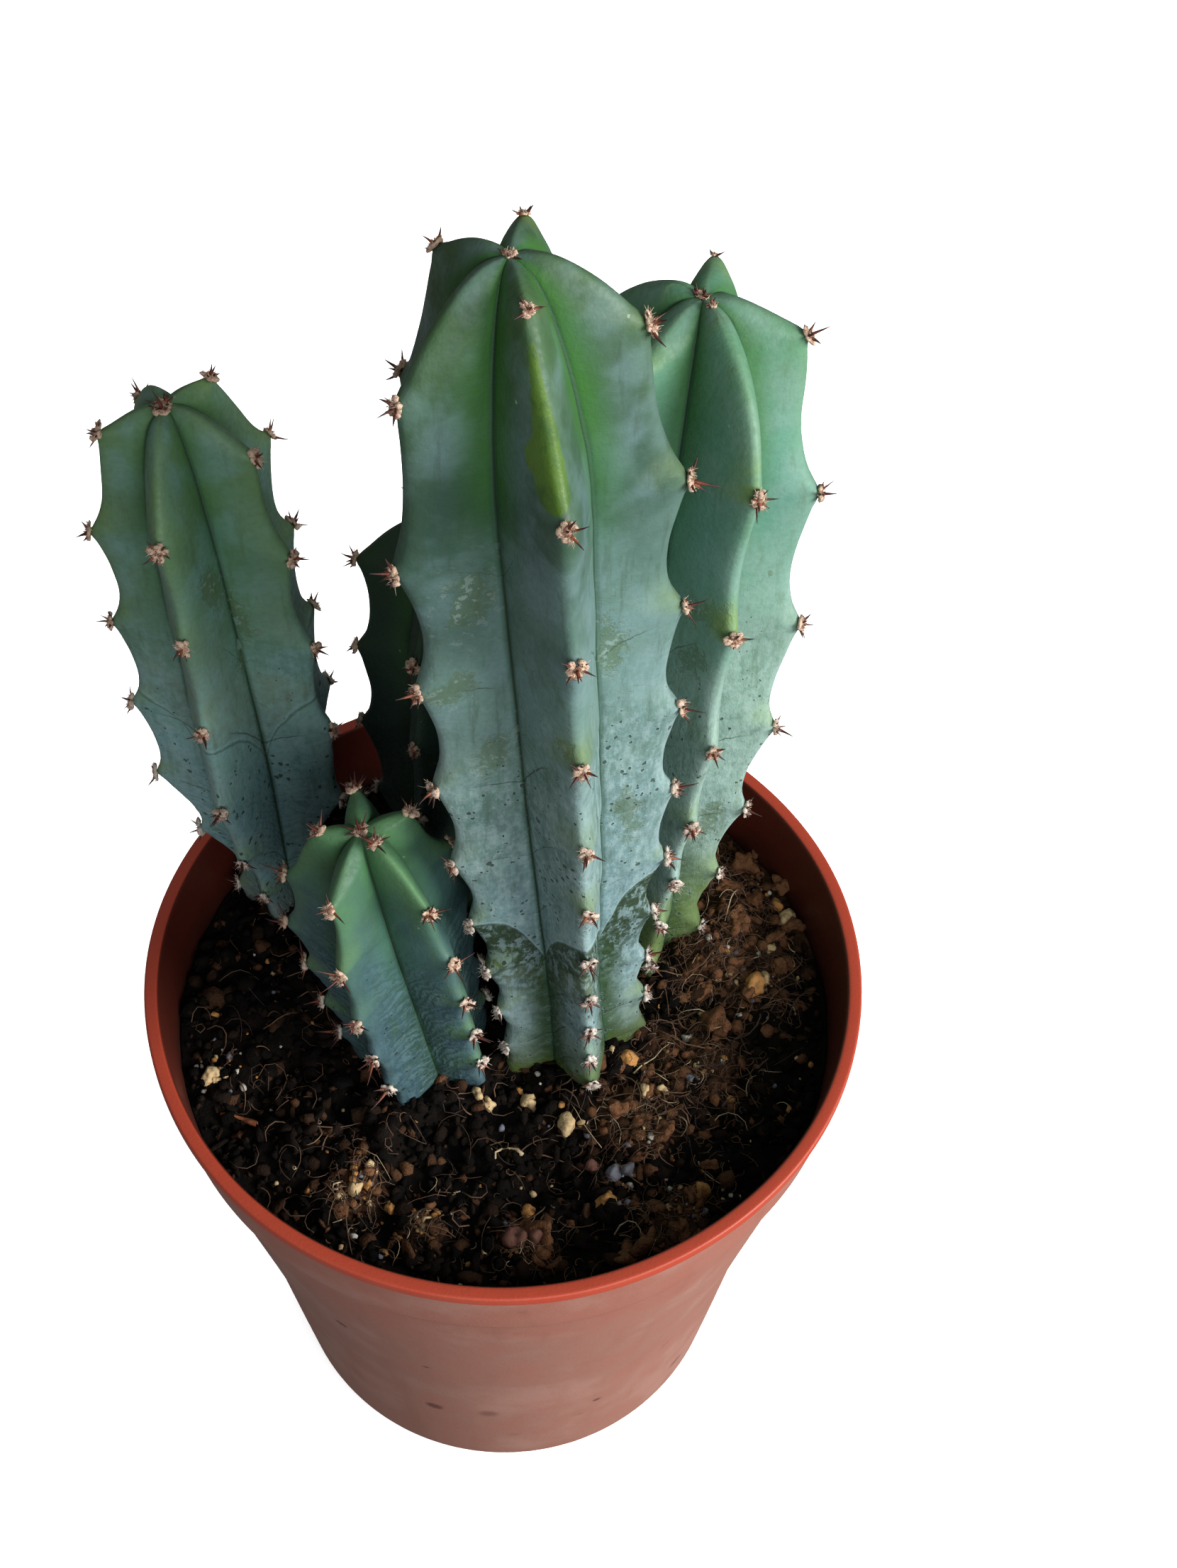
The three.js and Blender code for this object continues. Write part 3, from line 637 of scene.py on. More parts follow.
def skinFinish(name, look):
    skin = Finish("skin_" + name)
    fade, noise, field = skin.fade, skin.noise, skin.field
    across, height, fromTip, marked = field("across"), field("height"), field("fromTip"), field("bruise")
    broad, patch = noise(18), noise(4.5, 4, roughness=0.6)
    grain, speckle = noise(0.8), noise(1.5, roughness=0.7)
    streaks, fine = noise(1.6, 4, (1, 1, 0.14), 0.65), noise(1.4, 4, (1, 1, 0.6), 0.7)

    # the waxy bloom of old skin, the paler crests near the tip and the colour of the foot
    old = fade(height + 40 * broad, look.pitTop + 30, look.pitTop - 10)
    bloom = fade(0.6 * broad + 0.4 * patch, 0.44, 0.6) * fade(across, 1.0, 0.3)
    band = fade(across + 0.2 * patch, 0.5, 0.06) * fade(fromTip + 16 * broad, 56, 26)
    foot = fade(height + 16 * patch, look.footTop, look.footTop - 26)
    # the olive stain beside the waist, the dark seam of the furrows below it and the yellow-green line at
    # the soil
    waist = field("waist") + 1.6 * (patch - 0.5)
    beyond = waist * look.oliveSide
    stained = fade(beyond, 0.0, 1.2) * fade(beyond, 34, 10) * fade(patch + 0.6 * across, 0.12, 0.4)
    stained = stained * look.stain * (0.35 + 0.65 * fade(fine, 0.6, 0.46))
    stain = skin.layers(look.olive, (fade(broad + 0.3 * streaks, 0.62, 0.76), look.foot))
    seam = fade(across + 0.3 * patch, 0.4, 0.95) * fade(height + 12 * patch, 48, 30) * look.stain
    soilLine = 0.85 * float(smoothStep(0.6, 0.9, look.stain)) * fade(height + 5 * patch, 10, 3)
    # arched wrinkles low down, their ridges paler and troughs darker as painted light and shade, creases
    # beside the areoles darkened as painted shade, the green furrow hollows, and painted shade as dark furrow
    # lines
    arch = field("arc") + 9.0 * (patch - 0.5) + 2.0 * (fine - 0.5)
    wave = (arch * 2.8).math("SINE")
    arched = fade(height + 30 * broad, 74, 50) * fade(across, 0.12, 0.4) * fade(patch, 0.3, 0.52) * look.arcs
    crease = abs(field("crease") + 2.4 * (patch - 0.5))
    creased = fade(crease, 0.28, 0.04) * fade(across, 0.2, 0.5)
    creased = creased * fade(fromTip, 30, 60) * fade(broad, 0.4, 0.52)
    hollow = fade(across, 0.3, 0.9) * fade(fromTip + 24 * broad, 66, 26)
    # bruises, pits with pale rims, pale flecks and the scraped streak
    bruise = fade(marked + 1.8 * (speckle - 0.5) + 1.2 * (patch - 0.5), 0.5, 0.8)
    shaken = skin.vector("MULTIPLY_ADD", fine.random(), (1.3 * mm, 1.3 * mm, 1.3 * mm), skin.place)
    spots, flecks = skin.spots(1.15, (1, 1, 0.8), shaken), skin.spots(4.2, place=shaken)
    size = (spots.random() - 0.42) * fade(noise(7, 2), 0.3, 0.52) * old * look.pits * 0.8
    pits = fade(spots - size, 0.03, -0.05)
    rims = 0.2 * fade(spots - size, 0.2, 0.05) * fade(size, 0.06, 0.16)
    fleck = fade(flecks - 0.1 * (flecks.random() - 0.4), 0.012, 0.0)
    mottle = fade(grain, 0.35, 0.7)
    scrape = fade(field("scrape") + 0.6 * (patch - 0.5) + 0.25 * (grain - 0.5), 0.3, 0.48)
    fresh = skin.layers((76, 108, 30), (fade(patch, 0.4, 0.62), (54, 88, 30)))

    color = skin.layers(
        look.young,
        (fade(fromTip + 14 * broad, 12, 34), look.upper),
        (fade(fromTip + 30 * broad, 42, 76), look.middle),
        (fade(height + 60 * broad, 125, 55), look.low),
        (0.3 * fade(noise(8), 0.42, 0.62), look.low),
        ((0.08 + 0.3 * old) * bloom, look.bloom),
        # pale crests on old skin: partly wax bloom and partly a painted highlight along the crests
        (0.55 * fade(across, 0.2, 0.0) * old, look.bloom),
        (0.5 * fade(fine, 0.48, 0.62) * old, look.bloom),
        (0.4 * fade(streaks, 0.48, 0.66) * old, look.bloom),
        (0.3 * fade(streaks, 0.48, 0.3), look.olive),
        (0.4 * fade(fine, 0.47, 0.34) * old, (74, 98, 84)),
        (look.crestShare * band, look.crest),
        (0.85 * foot, look.foot),
        (0.95 * stained, stain),
        (0.8 * seam, (36, 62, 18)),
        (soilLine, (80, 98, 30)),
        (0.5 * fade(abs(waist), 0.45, 0.1), look.bloom),
        (0.5 * fade(abs(waist + 0.8), 0.5, 0.1), (44, 60, 40)),
        # painted light and shade: arched wrinkles paler on their raised ridges and darker in their sunk
        # troughs
        (0.5 * arched * fade(wave, 0.3, 0.95), look.bloom),
        (0.55 * arched * fade(wave, -0.4, -0.95), (36, 62, 50)),
        # painted shade in the sunk creases beside the areoles
        (0.55 * creased, (46, 68, 58)),
        (look.hollow * hollow, (50, 104, 34)),
        # painted shade: darker towards the furrows and a dark line in each furrow crease
        (0.7 * fade(across + 0.05 * patch, 0.9, 1.0), (44, 76, 58)),
        (0.85 * fade(across, 0.95, 0.99), (24, 50, 28)),
        (0.5 * bruise, (78, 96, 58)),
        (0.5 * marked * fade(speckle, 0.56, 0.64), look.bloom),
        (0.75 * field("blush") * fade(patch, 0.25, 0.6), look.blush),
        (rims, look.bloom),
        (0.8 * pits, (28, 46, 36)),
        (0.5 * fleck, (160, 178, 150)),
        (0.14 * mottle, (40, 64, 54)),
        (0.92 * scrape, fresh),
    )
    relief = 0.3 * grain + 0.15 * noise(0.35, 2) - 1.2 * pits - 0.6 * creased
    relief = relief + 0.5 * patch + 0.6 * old * streaks
    relief = relief + 1.1 * old * fine + 0.2 * arched * wave - 0.5 * bruise * grain
    return skin.surface(color, 0.52 + 0.14 * mottle - 0.1 * bruise - 0.12 * scrape, relief, 0.2, 0.34)


# Areoles: tufts of wool round every whole count of each rib, with spines standing out of them, in
# millimetres.
woolPad = Settings(tufts=7, reach=0.72, tuft=0.62, flat=0.6, hairs=9, hairLength=0.5, hairRadius=0.05)
spineSet = Settings(radials=5, radius=0.25, sides=5, steps=5, kept=0.8, longShare=0.06, longest=1.5,
                    stemClearance=0.6, potClearance=1.5)


# Places, frames (sideways, down the rib, outwards) and heights of a stem's areoles above the soil, then of
# its tip.
def findAreoles(stem):
    rib, count = np.meshgrid(np.arange(plant.ribs), np.arange(1, stem.steps), indexing="ij")
    rib, count = rib.ravel(), count.ravel().astype(float)
    place, height = skinPoints(stem, rib, 0, count)
    down = skinPoints(stem, rib, 0, count + 0.05)[0] - skinPoints(stem, rib, 0, count - 0.05)[0]
    aside = skinPoints(stem, rib, 0.06, count)[0] - skinPoints(stem, rib, -0.06, count)[0]
    above = height > 2.5
    down, aside = unit(down[above]), unit(aside[above])
    out = unit(np.cross(down, aside))
    frames = stack(aside, np.cross(out, aside), out)
    return join(place[above], [stem.apex]), join(frames, [stem.turned]), np.append(height[above], stem.length)


# True where a point is outside every other stem and the pot's rim, and inside the whole object's box.
def isClear(points, owner):
    lowest, highest = np.array(cadBox) / mm
    clear = ((points > lowest + 0.1) & (points < highest - 0.1)).all(axis=-1)
    for other in stems.values():
        if other is owner:
            continue
        x, y, height = np.moveaxis((points - other.origin) @ other.turned, -1, 0)
        limit = crestRadius(other, np.minimum(height, other.length)) + spineSet.stemClearance
        clear &= (np.hypot(x, y) > limit) | (height > other.length + 1)
    x, y, z = np.moveaxis(points, -1, 0)
    rim = pot.lipRadius - pot.lipWidth - spineSet.potClearance
    return clear & ((z > pot.height + 1) | (np.hypot(x, y) < rim))


# How large each areole is: full size down the rib, and smaller next to the tip, where it is starting to
# grow.
def areoleScale(stem, height):
    return between(stem.tipTuft, 1.0, smoothStep(0.5, 7, stem.length - height))


# Wool: tufts in a loose ring round the middle of each areole, and curled hairs that start on each tuft.
def buildWool(name, stem, finish):
    random = np.random.default_rng(stem.seed + 100)
    draw = random.uniform
    place, frames, height = findAreoles(stem)
    total, tufts, hairs = len(place), woolPad.tufts, woolPad.hairs
    scale = areoleScale(stem, height)[:, None] * draw(0.85, 1.15, (total, tufts))
    spin = (np.arange(tufts) + draw(-0.35, 0.35, (total, tufts))) * 2 * np.pi / (tufts - 1)
    reach = woolPad.reach * scale * draw(0.6, 1.3, (total, tufts))
    reach[:, 0] = 0
    local = stack(reach * np.cos(spin), 1.25 * reach * np.sin(spin), 0.1 - 0.12 * reach ** 2)
    centres = (place[:, None] + np.einsum("ntj,nij->nti", local, frames)).reshape(-1, 3)
    frames = np.repeat(frames, tufts, axis=0)
    size = woolPad.tuft * scale.reshape(-1, 1) * draw(0.65, 1.25, (total * tufts, 3))
    size[:, 2] *= woolPad.flat
    lumps, lumpFaces = makeLumps(centres, size, frames, 5, 8, 0.5, stem.seed)
    outward = unit(random.normal(0, 0.6, (total * tufts, hairs, 3)) + [0, 0, 0.7])
    outward[..., 2] = np.abs(outward[..., 2])
    root = 0.85 * outward * size[:, None]
    curl = random.normal(0, 0.5, root.shape)
    share = np.linspace(0, 1, 4)[:, None]
    length = woolPad.hairLength * scale.reshape(-1, 1, 1, 1) * draw(0.5, 1.3, (total * tufts, hairs, 1, 1))
    curve = root[:, :, None] + length * (outward[:, :, None] * share + curl[:, :, None] * share ** 2 * 0.6)
    paths = centres[:, None, None] + np.einsum("nhsj,nij->nhsi", curve, frames)
    radii = np.tile(woolPad.hairRadius * np.array([1, 0.9, 0.7, 0.35]), (total * tufts * hairs, 1))
    tubes, tubeFaces = makeTubes(paths.reshape(-1, 4, 3), radii, 3)
    faces = lumpFaces + [each + len(lumps) for each in tubeFaces]

    def spread(values):
        return join(*[np.repeat(values, len(points) // len(values)) for points in (lumps, tubes)])

    core = np.zeros((total, tufts))
    core[:, 0] = 1
    core += draw(-0.3, 0.45, core.shape)
    fields = {"age": spread(np.repeat(1 - clamp(height / stem.length), tufts)), "core": spread(core.ravel())}
    addPiece(name + "_wool", join(lumps, tubes), faces, finish, "stem_" + name, fields)


# Spines: one out of the middle of each areole and radials round it, each a bent cone.
def buildSpines(name, stem, finish):
    random = np.random.default_rng(stem.seed + 200)
    draw = random.uniform
    place, frames, height = findAreoles(stem)
    total, each = len(place), spineSet.radials + 1
    spin = (np.arange(each) + draw(-0.3, 0.3, (total, each))) * 2 * np.pi / spineSet.radials
    spin += draw(0, 2 * np.pi, (total, 1))
    tilt = np.radians(draw(40, 74, (total, each)))
    tilt[:, 0] = np.radians(draw(4, 28, total))
    local = stack(np.sin(tilt) * np.cos(spin), np.sin(tilt) * np.sin(spin), np.cos(tilt))
    direction = np.einsum("nsj,nij->nsi", local, frames)
    length = stem.spine * draw(0.5, 0.95, (total, each)) * areoleScale(stem, height)[:, None]
    length[:, 0] *= 1.35
    length[:, 0] *= np.where(draw(size=total) < spineSet.longShare, spineSet.longest, 1.0)
    bend = random.normal(0, 0.07, (total, each, 3)) + np.array([0, 0, 0.05])
    share = np.linspace(0, 1, spineSet.steps)[:, None]
    out = frames[:, None, :, 2]
    start = place[:, None] + out * 0.1 + 0.35 * (direction - out)
    curve = direction[:, :, None] * share + bend[:, :, None] * share ** 2
    paths = start[:, :, None] + length[..., None, None] * curve
    thick = spineSet.radius * draw(0.75, 1.25, (total, each, 1)) * (1 - 0.85 * share[:, 0] ** 1.3)
    kept = (draw(size=(total, each)) < spineSet.kept) & isClear(paths[:, :, -1], stem)
    points, faces = makeTubes(paths[kept], thick[kept], spineSet.sides)
    count = int(kept.sum())
    along = np.append(np.repeat(share[:, 0], spineSet.sides), [0, 1])
    age = np.repeat(1 - clamp(height / stem.length), kept.sum(axis=1))
    fields = {"along": np.tile(along, count), "age": age, "tone": draw(size=count)}
    addPiece(name + "_spines", points, faces, finish, "stem_" + name, fields)


def woolFinish():
    wool = Finish("areole_wool")
    tuft, age, core = wool.noise(0.6, roughness=0.65), wool.field("age"), wool.field("core")
    color = wool.layers(
        (196, 170, 148),
        (wool.fade(age, 0.3, 0.95), (206, 198, 188)),
        (0.8 * wool.fade(core + 0.8 * (tuft - 0.5), 0.35, 1.0), (122, 70, 50)),
        (0.6 * wool.fade(tuft, 0.52, 0.36), (128, 88, 68)),
    )
    return wool.surface(color, 0.9 - 0.1 * tuft, tuft, 0.15)


def spineFinish():
    spine = Finish("spine_horn")
    along, tone, grain = spine.field("along"), spine.field("tone"), spine.noise(0.7, 2)
    color = spine.layers(
        (84, 32, 22),
        (spine.fade(tone, 0.3, 1.0), (138, 74, 44)),
        (spine.fade(along + 0.4 * grain, 0.45, 1.0), (48, 22, 20)),
        (0.35 * spine.fade(grain, 0.55, 0.8), (140, 90, 60)),
    )
    return spine.surface(color, 0.45 + 0.2 * grain, grain, 0.02)


# The pot's sizes in millimetres, as its solid has them. waistHeight is the place of the kink in its wall,
# and a patch is a sector of the floor, with a drain hole in it.
pot = Settings(
    height=110.0, lipRadius=60.0, lipWidth=2.4, lipHeight=2.4, lipOverhang=0.5, collarHeight=16.0,
    collarBottomRadius=57.9, wallTopRadius=57.0, waistHeight=42.0, waistRadius=47.8, footRadius=42.7,
    wall=1.3, floor=1.2, floorRise=1.2, padRadius=14.0, ringWidth=5.0,
    holes=8, holeRadius=3.0, holeCircle=27.0, patchInner=19.0, patchOuter=34.5, segments=240, dent=0.12,
)
pot.collarBottom = pot.height - pot.collarHeight
pot.floorTop = pot.floorRise + pot.floor


def wallRadius(z):
    radii = [pot.footRadius, pot.waistRadius, pot.wallTopRadius]
    return np.interp(z, [0, pot.waistHeight, pot.collarBottom], radii)


def innerRadius(z):
    inside = wallRadius(pot.collarBottom) - pot.wall
    upper = between(inside, pot.lipRadius - pot.lipWidth, (z - pot.collarBottom) / pot.collarHeight)
    return np.where(z > pot.collarBottom, upper, wallRadius(z) - pot.wall)


# Rounds each corner of a profile with a quadratic curve that starts and ends this far from the corner, and
# adds points so that no straight run is longer than 3 mm.
def roundProfile(*corners):
    spots = np.array([corner[:2] for corner in corners], float)
    share = np.linspace(0, 1, 6)[:, None]
    dense = [spots[:1]]
    for before, spot, after, corner in zip(spots, spots[1:], spots[2:], corners[1:]):
        start, end = (spot + unit(each - spot) * corner[2] for each in (before, after))
        dense.append((1 - share) ** 2 * start + 2 * share * (1 - share) * spot + share ** 2 * end)
    rough = join(*dense, spots[-1:])
    distance = join([0], np.cumsum(np.linalg.norm(np.diff(rough, axis=0), axis=1)))
    runs = [np.linspace(a, b, int(np.ceil((b - a) / 3)) + 1)[:-1]
            for a, b in zip(distance, distance[1:]) if b > a]
    where = join(*runs, distance[-1:])
    return stack(*(np.interp(where, distance, rough[:, k]) for k in (0, 1)))


# A profile of (radius, z) rows carried round the pot's axis, slightly out of true where the wall is free.
def turnProfile(profile):
    angle = turns(pot.segments)
    radius, z = profile[:, :1], profile[:, 1:]
    wave = np.sin(3 * angle + 0.7) + 0.6 * np.sin(7 * angle + z * 0.05) - 1.6
    sway = pot.dent * smoothStep(5, 60, z) * wave
    radius = radius + sway * smoothStep(30, 42, radius)
    return stack(radius * np.cos(angle), radius * np.sin(angle), z)


# One floor sector with a drain hole: rings that blend from the hole's circle to the sector's edge.
def holePatch(index, rings=5):
    width = 2 * np.pi / pot.holes
    across = np.linspace(-width / 2, width / 2, pot.segments // pot.holes + 1)
    radial = np.linspace(pot.patchInner, pot.patchOuter, 9)
    edge = join(stack(radial[-1], across)[:-1], stack(radial[::-1], across[-1])[:-1],
                stack(radial[0], across[::-1])[:-1], stack(radial, across[0])[:-1])
    turn = (index + 0.5) * width
    outline = edge[:, :1] * onCircle(edge[:, 1] + turn)
    centre = pot.holeCircle * onCircle(turn)
    circle = centre + pot.holeRadius * unit(outline - centre)
    share = np.linspace(0, 1, rings)[:, None, None]
    return circle * (1 - share) + outline * share


def buildPot(finish):
    lip, top, bottom, collar = pot.lipRadius, pot.height, pot.floorRise, pot.collarBottom
    ringInner = pot.footRadius - pot.ringWidth
    inside = np.array([(0.5, pot.floorTop), (8, pot.floorTop), (pot.patchInner, pot.floorTop)])
    shell = roundProfile(
        (pot.patchOuter, pot.floorTop, 0),
        (innerRadius(pot.floorTop), pot.floorTop, 1.5),
        (innerRadius(pot.waistHeight), pot.waistHeight, 4),
        (innerRadius(collar), collar, 1.5),
        (lip - pot.lipWidth, top, 0.7),
        (lip, top, 0.5),
        (lip, top - pot.lipHeight + pot.lipOverhang, 0.3),
        (lip - pot.lipOverhang, top - pot.lipHeight, 0.2),
        (pot.collarBottomRadius, collar + 1, 0.7),
        (pot.wallTopRadius, collar, 0.5),
        (pot.waistRadius, pot.waistHeight, 5),
        (pot.footRadius, 0, 0.8),
        (ringInner, 0, 0.3),
        (ringInner - bottom, bottom, 0.3),
        (pot.patchOuter, bottom, 0),
    )
    pad = roundProfile((pot.patchInner, bottom, 0), (pot.padRadius + bottom, bottom, 0.3),
                       (pot.padRadius, 0, 0.3), (0.5, 0, 0))
    points, faces = [], []

    def addGrid(grid, flip=1):
        faces.append(gridQuads(*grid.shape[:2])[:, ::flip] + sum(len(each) for each in points))
        points.append(grid.reshape(-1, 3))

    for profile in (inside, shell, pad):
        addGrid(turnProfile(profile))
    patches = [holePatch(index) for index in range(pot.holes)]
    for z, flip in ((pot.floorTop, 1), (bottom, -1)):
        for patch in patches:
            addGrid(stack(patch[..., 0], patch[..., 1], z), flip)
    for patch in patches:
        addGrid(stack(patch[0, :, 0], patch[0, :, 1], np.linspace(bottom, pot.floorTop, 3)[:, None]))
    # the middle of the floor, above and below, closed by a point each
    ring = np.arange(pot.segments)
    after = np.roll(ring, -1)
    middle = sum(len(each) for each in points)
    padEnd = (len(inside) + len(shell) + len(pad) - 1) * pot.segments
    faces += [stack(middle, ring, after), stack(padEnd + ring, middle + 1, padEnd + after)]
    points.append([(0, 0, pot.floorTop), (0, 0, 0)])
    weld(addPiece("pot_shell", join(*points), faces, finish, "pot"))


# Joins points that lie on each other, and turns every face outwards.
def weld(piece):
    work = bmesh.new()
    work.from_mesh(piece.data)
    bmesh.ops.remove_doubles(work, verts=work.verts, dist=2e-6)
    bmesh.ops.recalc_face_normals(work, faces=work.faces)
    work.to_mesh(piece.data)
    work.free()


# Dark marks on the pot's wall: x, y, z and reach in millimetres.
potSpots = [(-13.5, -44.1, 28.8, 2.0), (-28.2, -43.1, 63.3, 1.4), (-13.9, -48.6, 57.5, 1.0),
            (16.6, -42.9, 27.3, 1.2)]


def potFinish():
    clay = Finish("terracotta_plastic_shell")
    fade, vector = clay.fade, clay.vector
    level = clay.node("ShaderNodeSeparateXYZ", {}, {0: clay.place}, output="Z") * 1000
    radius = vector("LENGTH", vector("MULTIPLY", clay.place, (1000, 1000, 0)), output="Value")
    fromAxis = vector("NORMALIZE", vector("MULTIPLY", clay.place, (1, 1, 0)))
    normal = clay.node("ShaderNodeNewGeometry", output="Normal")
    outward = vector("DOT_PRODUCT", normal, fromAxis, output="Value")
    broad, cloud = clay.noise(26), clay.noise(7, 4)
    grain, streak = clay.noise(0.5), clay.noise(5, 3, (1, 1, 0.12))
    outside = fade(outward, 0.2, 0.6) * fade(level, pot.height - 2.2, pot.height - 2.9)
    inside = fade(outward, -0.3, -0.7)
    bloom = outside * (0.6 + 0.4 * cloud + 0.3 * broad) * (1 - 0.15 * fade(level, 70, 96))
    marks = []
    for *spot, size in potSpots:
        distance = vector("DISTANCE", clay.place, [each * mm for each in spot], output="Value") * 1000
        mark = fade(distance + 3.5 * (cloud - 0.5) + 1.5 * (grain - 0.5), size, 0.3 * size)
        marks.append((0.8 * mark, (84, 40, 34)))
    color = clay.layers(
        (172, 64, 42),
        (bloom, (150, 106, 92)),
        (0.3 * (outside * fade(broad + 0.35 * cloud, 0.66, 0.86)), (176, 134, 122)),
        (0.25 * outside * fade(streak, 0.5, 0.75), (132, 84, 68)),
        # painted shade inside the pot, with soil stain: the inner wall darker, and darker still towards the
        # soil
        (0.9 * inside, (56, 18, 10)),
        (0.7 * (inside * fade(level + 10 * cloud, 108, 98)), (34, 19, 15)),
        (0.55 * (fade(clay.spots(17), 0.16, 0.05) * fade(cloud, 0.42, 0.6) * outside), (96, 52, 42)),
        *marks,
        # painted shadow: a darker band on the outer wall just under the collar's step
        (0.28 * (fade(level + 2 * cloud, 95.4, 94.2) * fade(level, 90.5, 94) * outside), (110, 66, 56)),
        (0.18 * (fade(radius, 59.2, 59.9) * fade(cloud, 0.35, 0.7)), (164, 88, 64)),
        (0.12 * fade(grain, 0.4, 0.8), (100, 52, 40)),
    )
    roughness = 0.42 + 0.22 * bloom + 0.1 * cloud
    return clay.surface(color, roughness, 0.4 * grain + cloud + 0.6 * streak, 0.08, 0.45)


# Millimetres. mounds are raised places: x, y, reach and height.
soil = Settings(
    level=95.5, gap=0.35, relief=1.1, crumbRelief=1.15, rings=150, segments=340,
    mounds=[(41, 12, 12, 2.6), (38, 28, 12, 2.4), (21, -16, 10, 1.6), (-30, -30, 11, 1.2), (24, -42, 12, 1.0),
            (-45, 2, 9, 1.0), (2, -45, 7, 1.2), (12, -14, 8, 1.0), (-16, -18, 7, 0.7)],
)


# The soil's surface: three crossing waves as in the solid, mounds, and layered noise for its crumbs.
def soilTop(x, y):
    waves = (np.sin(x * 0.13 + 1.1) * np.cos(y * 0.11) + 0.6 * np.sin(x * 0.31 - y * 0.27)
             + 0.5 * np.cos(x * 0.52 + y * 0.47 + 2))
    edge = 1 - smoothStep(0.75, 1, np.hypot(x, y) / innerRadius(soil.level))
    z = soil.level + soil.relief * waves * (0.4 + 0.6 * edge)
    for moundX, moundY, reach, rise in soil.mounds:
        z = z + rise * bell(np.hypot(x - moundX, y - moundY), reach) * (0.3 + 0.7 * edge)
    return z + soil.crumbRelief * layeredNoise(stack(x, y, 0.0), 5.0, 4, 70) * (0.5 + 0.5 * edge)


# The soil: its top as rings round the middle, then its side down the pot's wall to its flat bottom.
def buildSoil(finish):
    angle = turns(soil.segments)
    rim = innerRadius(soil.level) - soil.gap
    radii = rim * np.arange(1, soil.rings + 1) / soil.rings
    x, y = radii[:, None] * np.cos(angle), radii[:, None] * np.sin(angle)
    bottom = pot.floorTop + 0.5
    levels = np.append(np.linspace(soil.level - 4, bottom + 2, 24), bottom)
    sideRadii = innerRadius(levels) - soil.gap
    sideRadii[-1] -= 2
    side = stack(sideRadii[:, None] * np.cos(angle), sideRadii[:, None] * np.sin(angle), levels[:, None])
    middle = (0, 0, soilTop(np.zeros(1), np.zeros(1))[0])
    points, quads, fans = closeGrid(join(stack(x, y, soilTop(x, y)), side), middle, (0, 0, bottom))
    brown = fibreShare(points[:, 0], points[:, 1])
    addPiece("soil_bed", points, [quads, fans], finish, "soil", {"brown": brown})


# Where brown fibrous peat gathers: x, y and reach. Its share is the highest of the bells round these
# places.
fibreBeds = [(41, 10, 13), (40, 27, 13), (22, -22, 8), (-24, -35, 5), (32, -11, 10), (4, -46, 5),
             (28, -42, 7),
             (51, 16, 7), (-13, -41, 4)]


def fibreShare(x, y):
    return np.max([bell(np.hypot(x - bedX, y - bedY), reach) for bedX, bedY, reach in fibreBeds], axis=0)


# Random places on the soil inside the pot and outside the hearts of the stems.
def scatterOnSoil(count, margin, random):
    rim = innerRadius(soil.level) - margin
    radius, angle = rim * np.sqrt(random.uniform(size=count)), random.uniform(0, 2 * np.pi, count)
    x, y = radius * np.cos(angle), radius * np.sin(angle)
    free = np.ones(count, bool)
    for stem in stems.values():
        free &= np.hypot(x - stem.foot[0], y - stem.foot[1]) > 0.6 * stem.footCrest
    return x[free], y[free]


# Lumps on the soil, stretched and turned at random, with their middles above it by a share of their radius.
# form is what makeLumps takes last.
def strewLumps(x, y, radius, stretch, rise, random, form):
    sizes = radius[:, None] * random.uniform(*stretch, (len(x), 3))
    centres = stack(x, y, soilTop(x, y) + rise * radius)
    return makeLumps(centres, sizes, randomFrames(len(x), random), *form)


# Peat crumbs, most of them small.
crumbSizes = Settings(count=5400, smallest=0.3, largest=1.4, skew=2.4, rise=0.3)


def buildCrumbs(finish):
    random = np.random.default_rng(301)
    x, y = scatterOnSoil(crumbSizes.count, 1.4, random)
    size = between(crumbSizes.smallest, crumbSizes.largest, random.uniform(size=len(x)) ** crumbSizes.skew)
    points, faces = strewLumps(x, y, size, (0.4, 1.5), crumbSizes.rise, random, (3, 6, 0.6, 302))
    brown = clamp(fibreShare(x, y) * 0.8 + random.uniform(-0.35, 0.35, len(x)))
    fields = {"brown": brown, "tone": random.uniform(size=len(x))}
    addPiece("peat_crumbs", points, faces, finish, "soil", fields)


# Root and peat fibres: bent threads that lie on the soil, most of them in the brown beds. The first one is
# a pale hooked root near the front of the pot, an arc of an ellipse with hookReach as its half axes.
fibreLook = Settings(count=3400, steps=6, shortest=1.5, longest=9.0, thin=0.06, thick=0.17,
                     hookPlace=(0.5, -28.3), hookReach=(2.3, 1.9), hookTurn=(0.2, 3.5), hookRise=0.9,
                     hookThick=0.4)


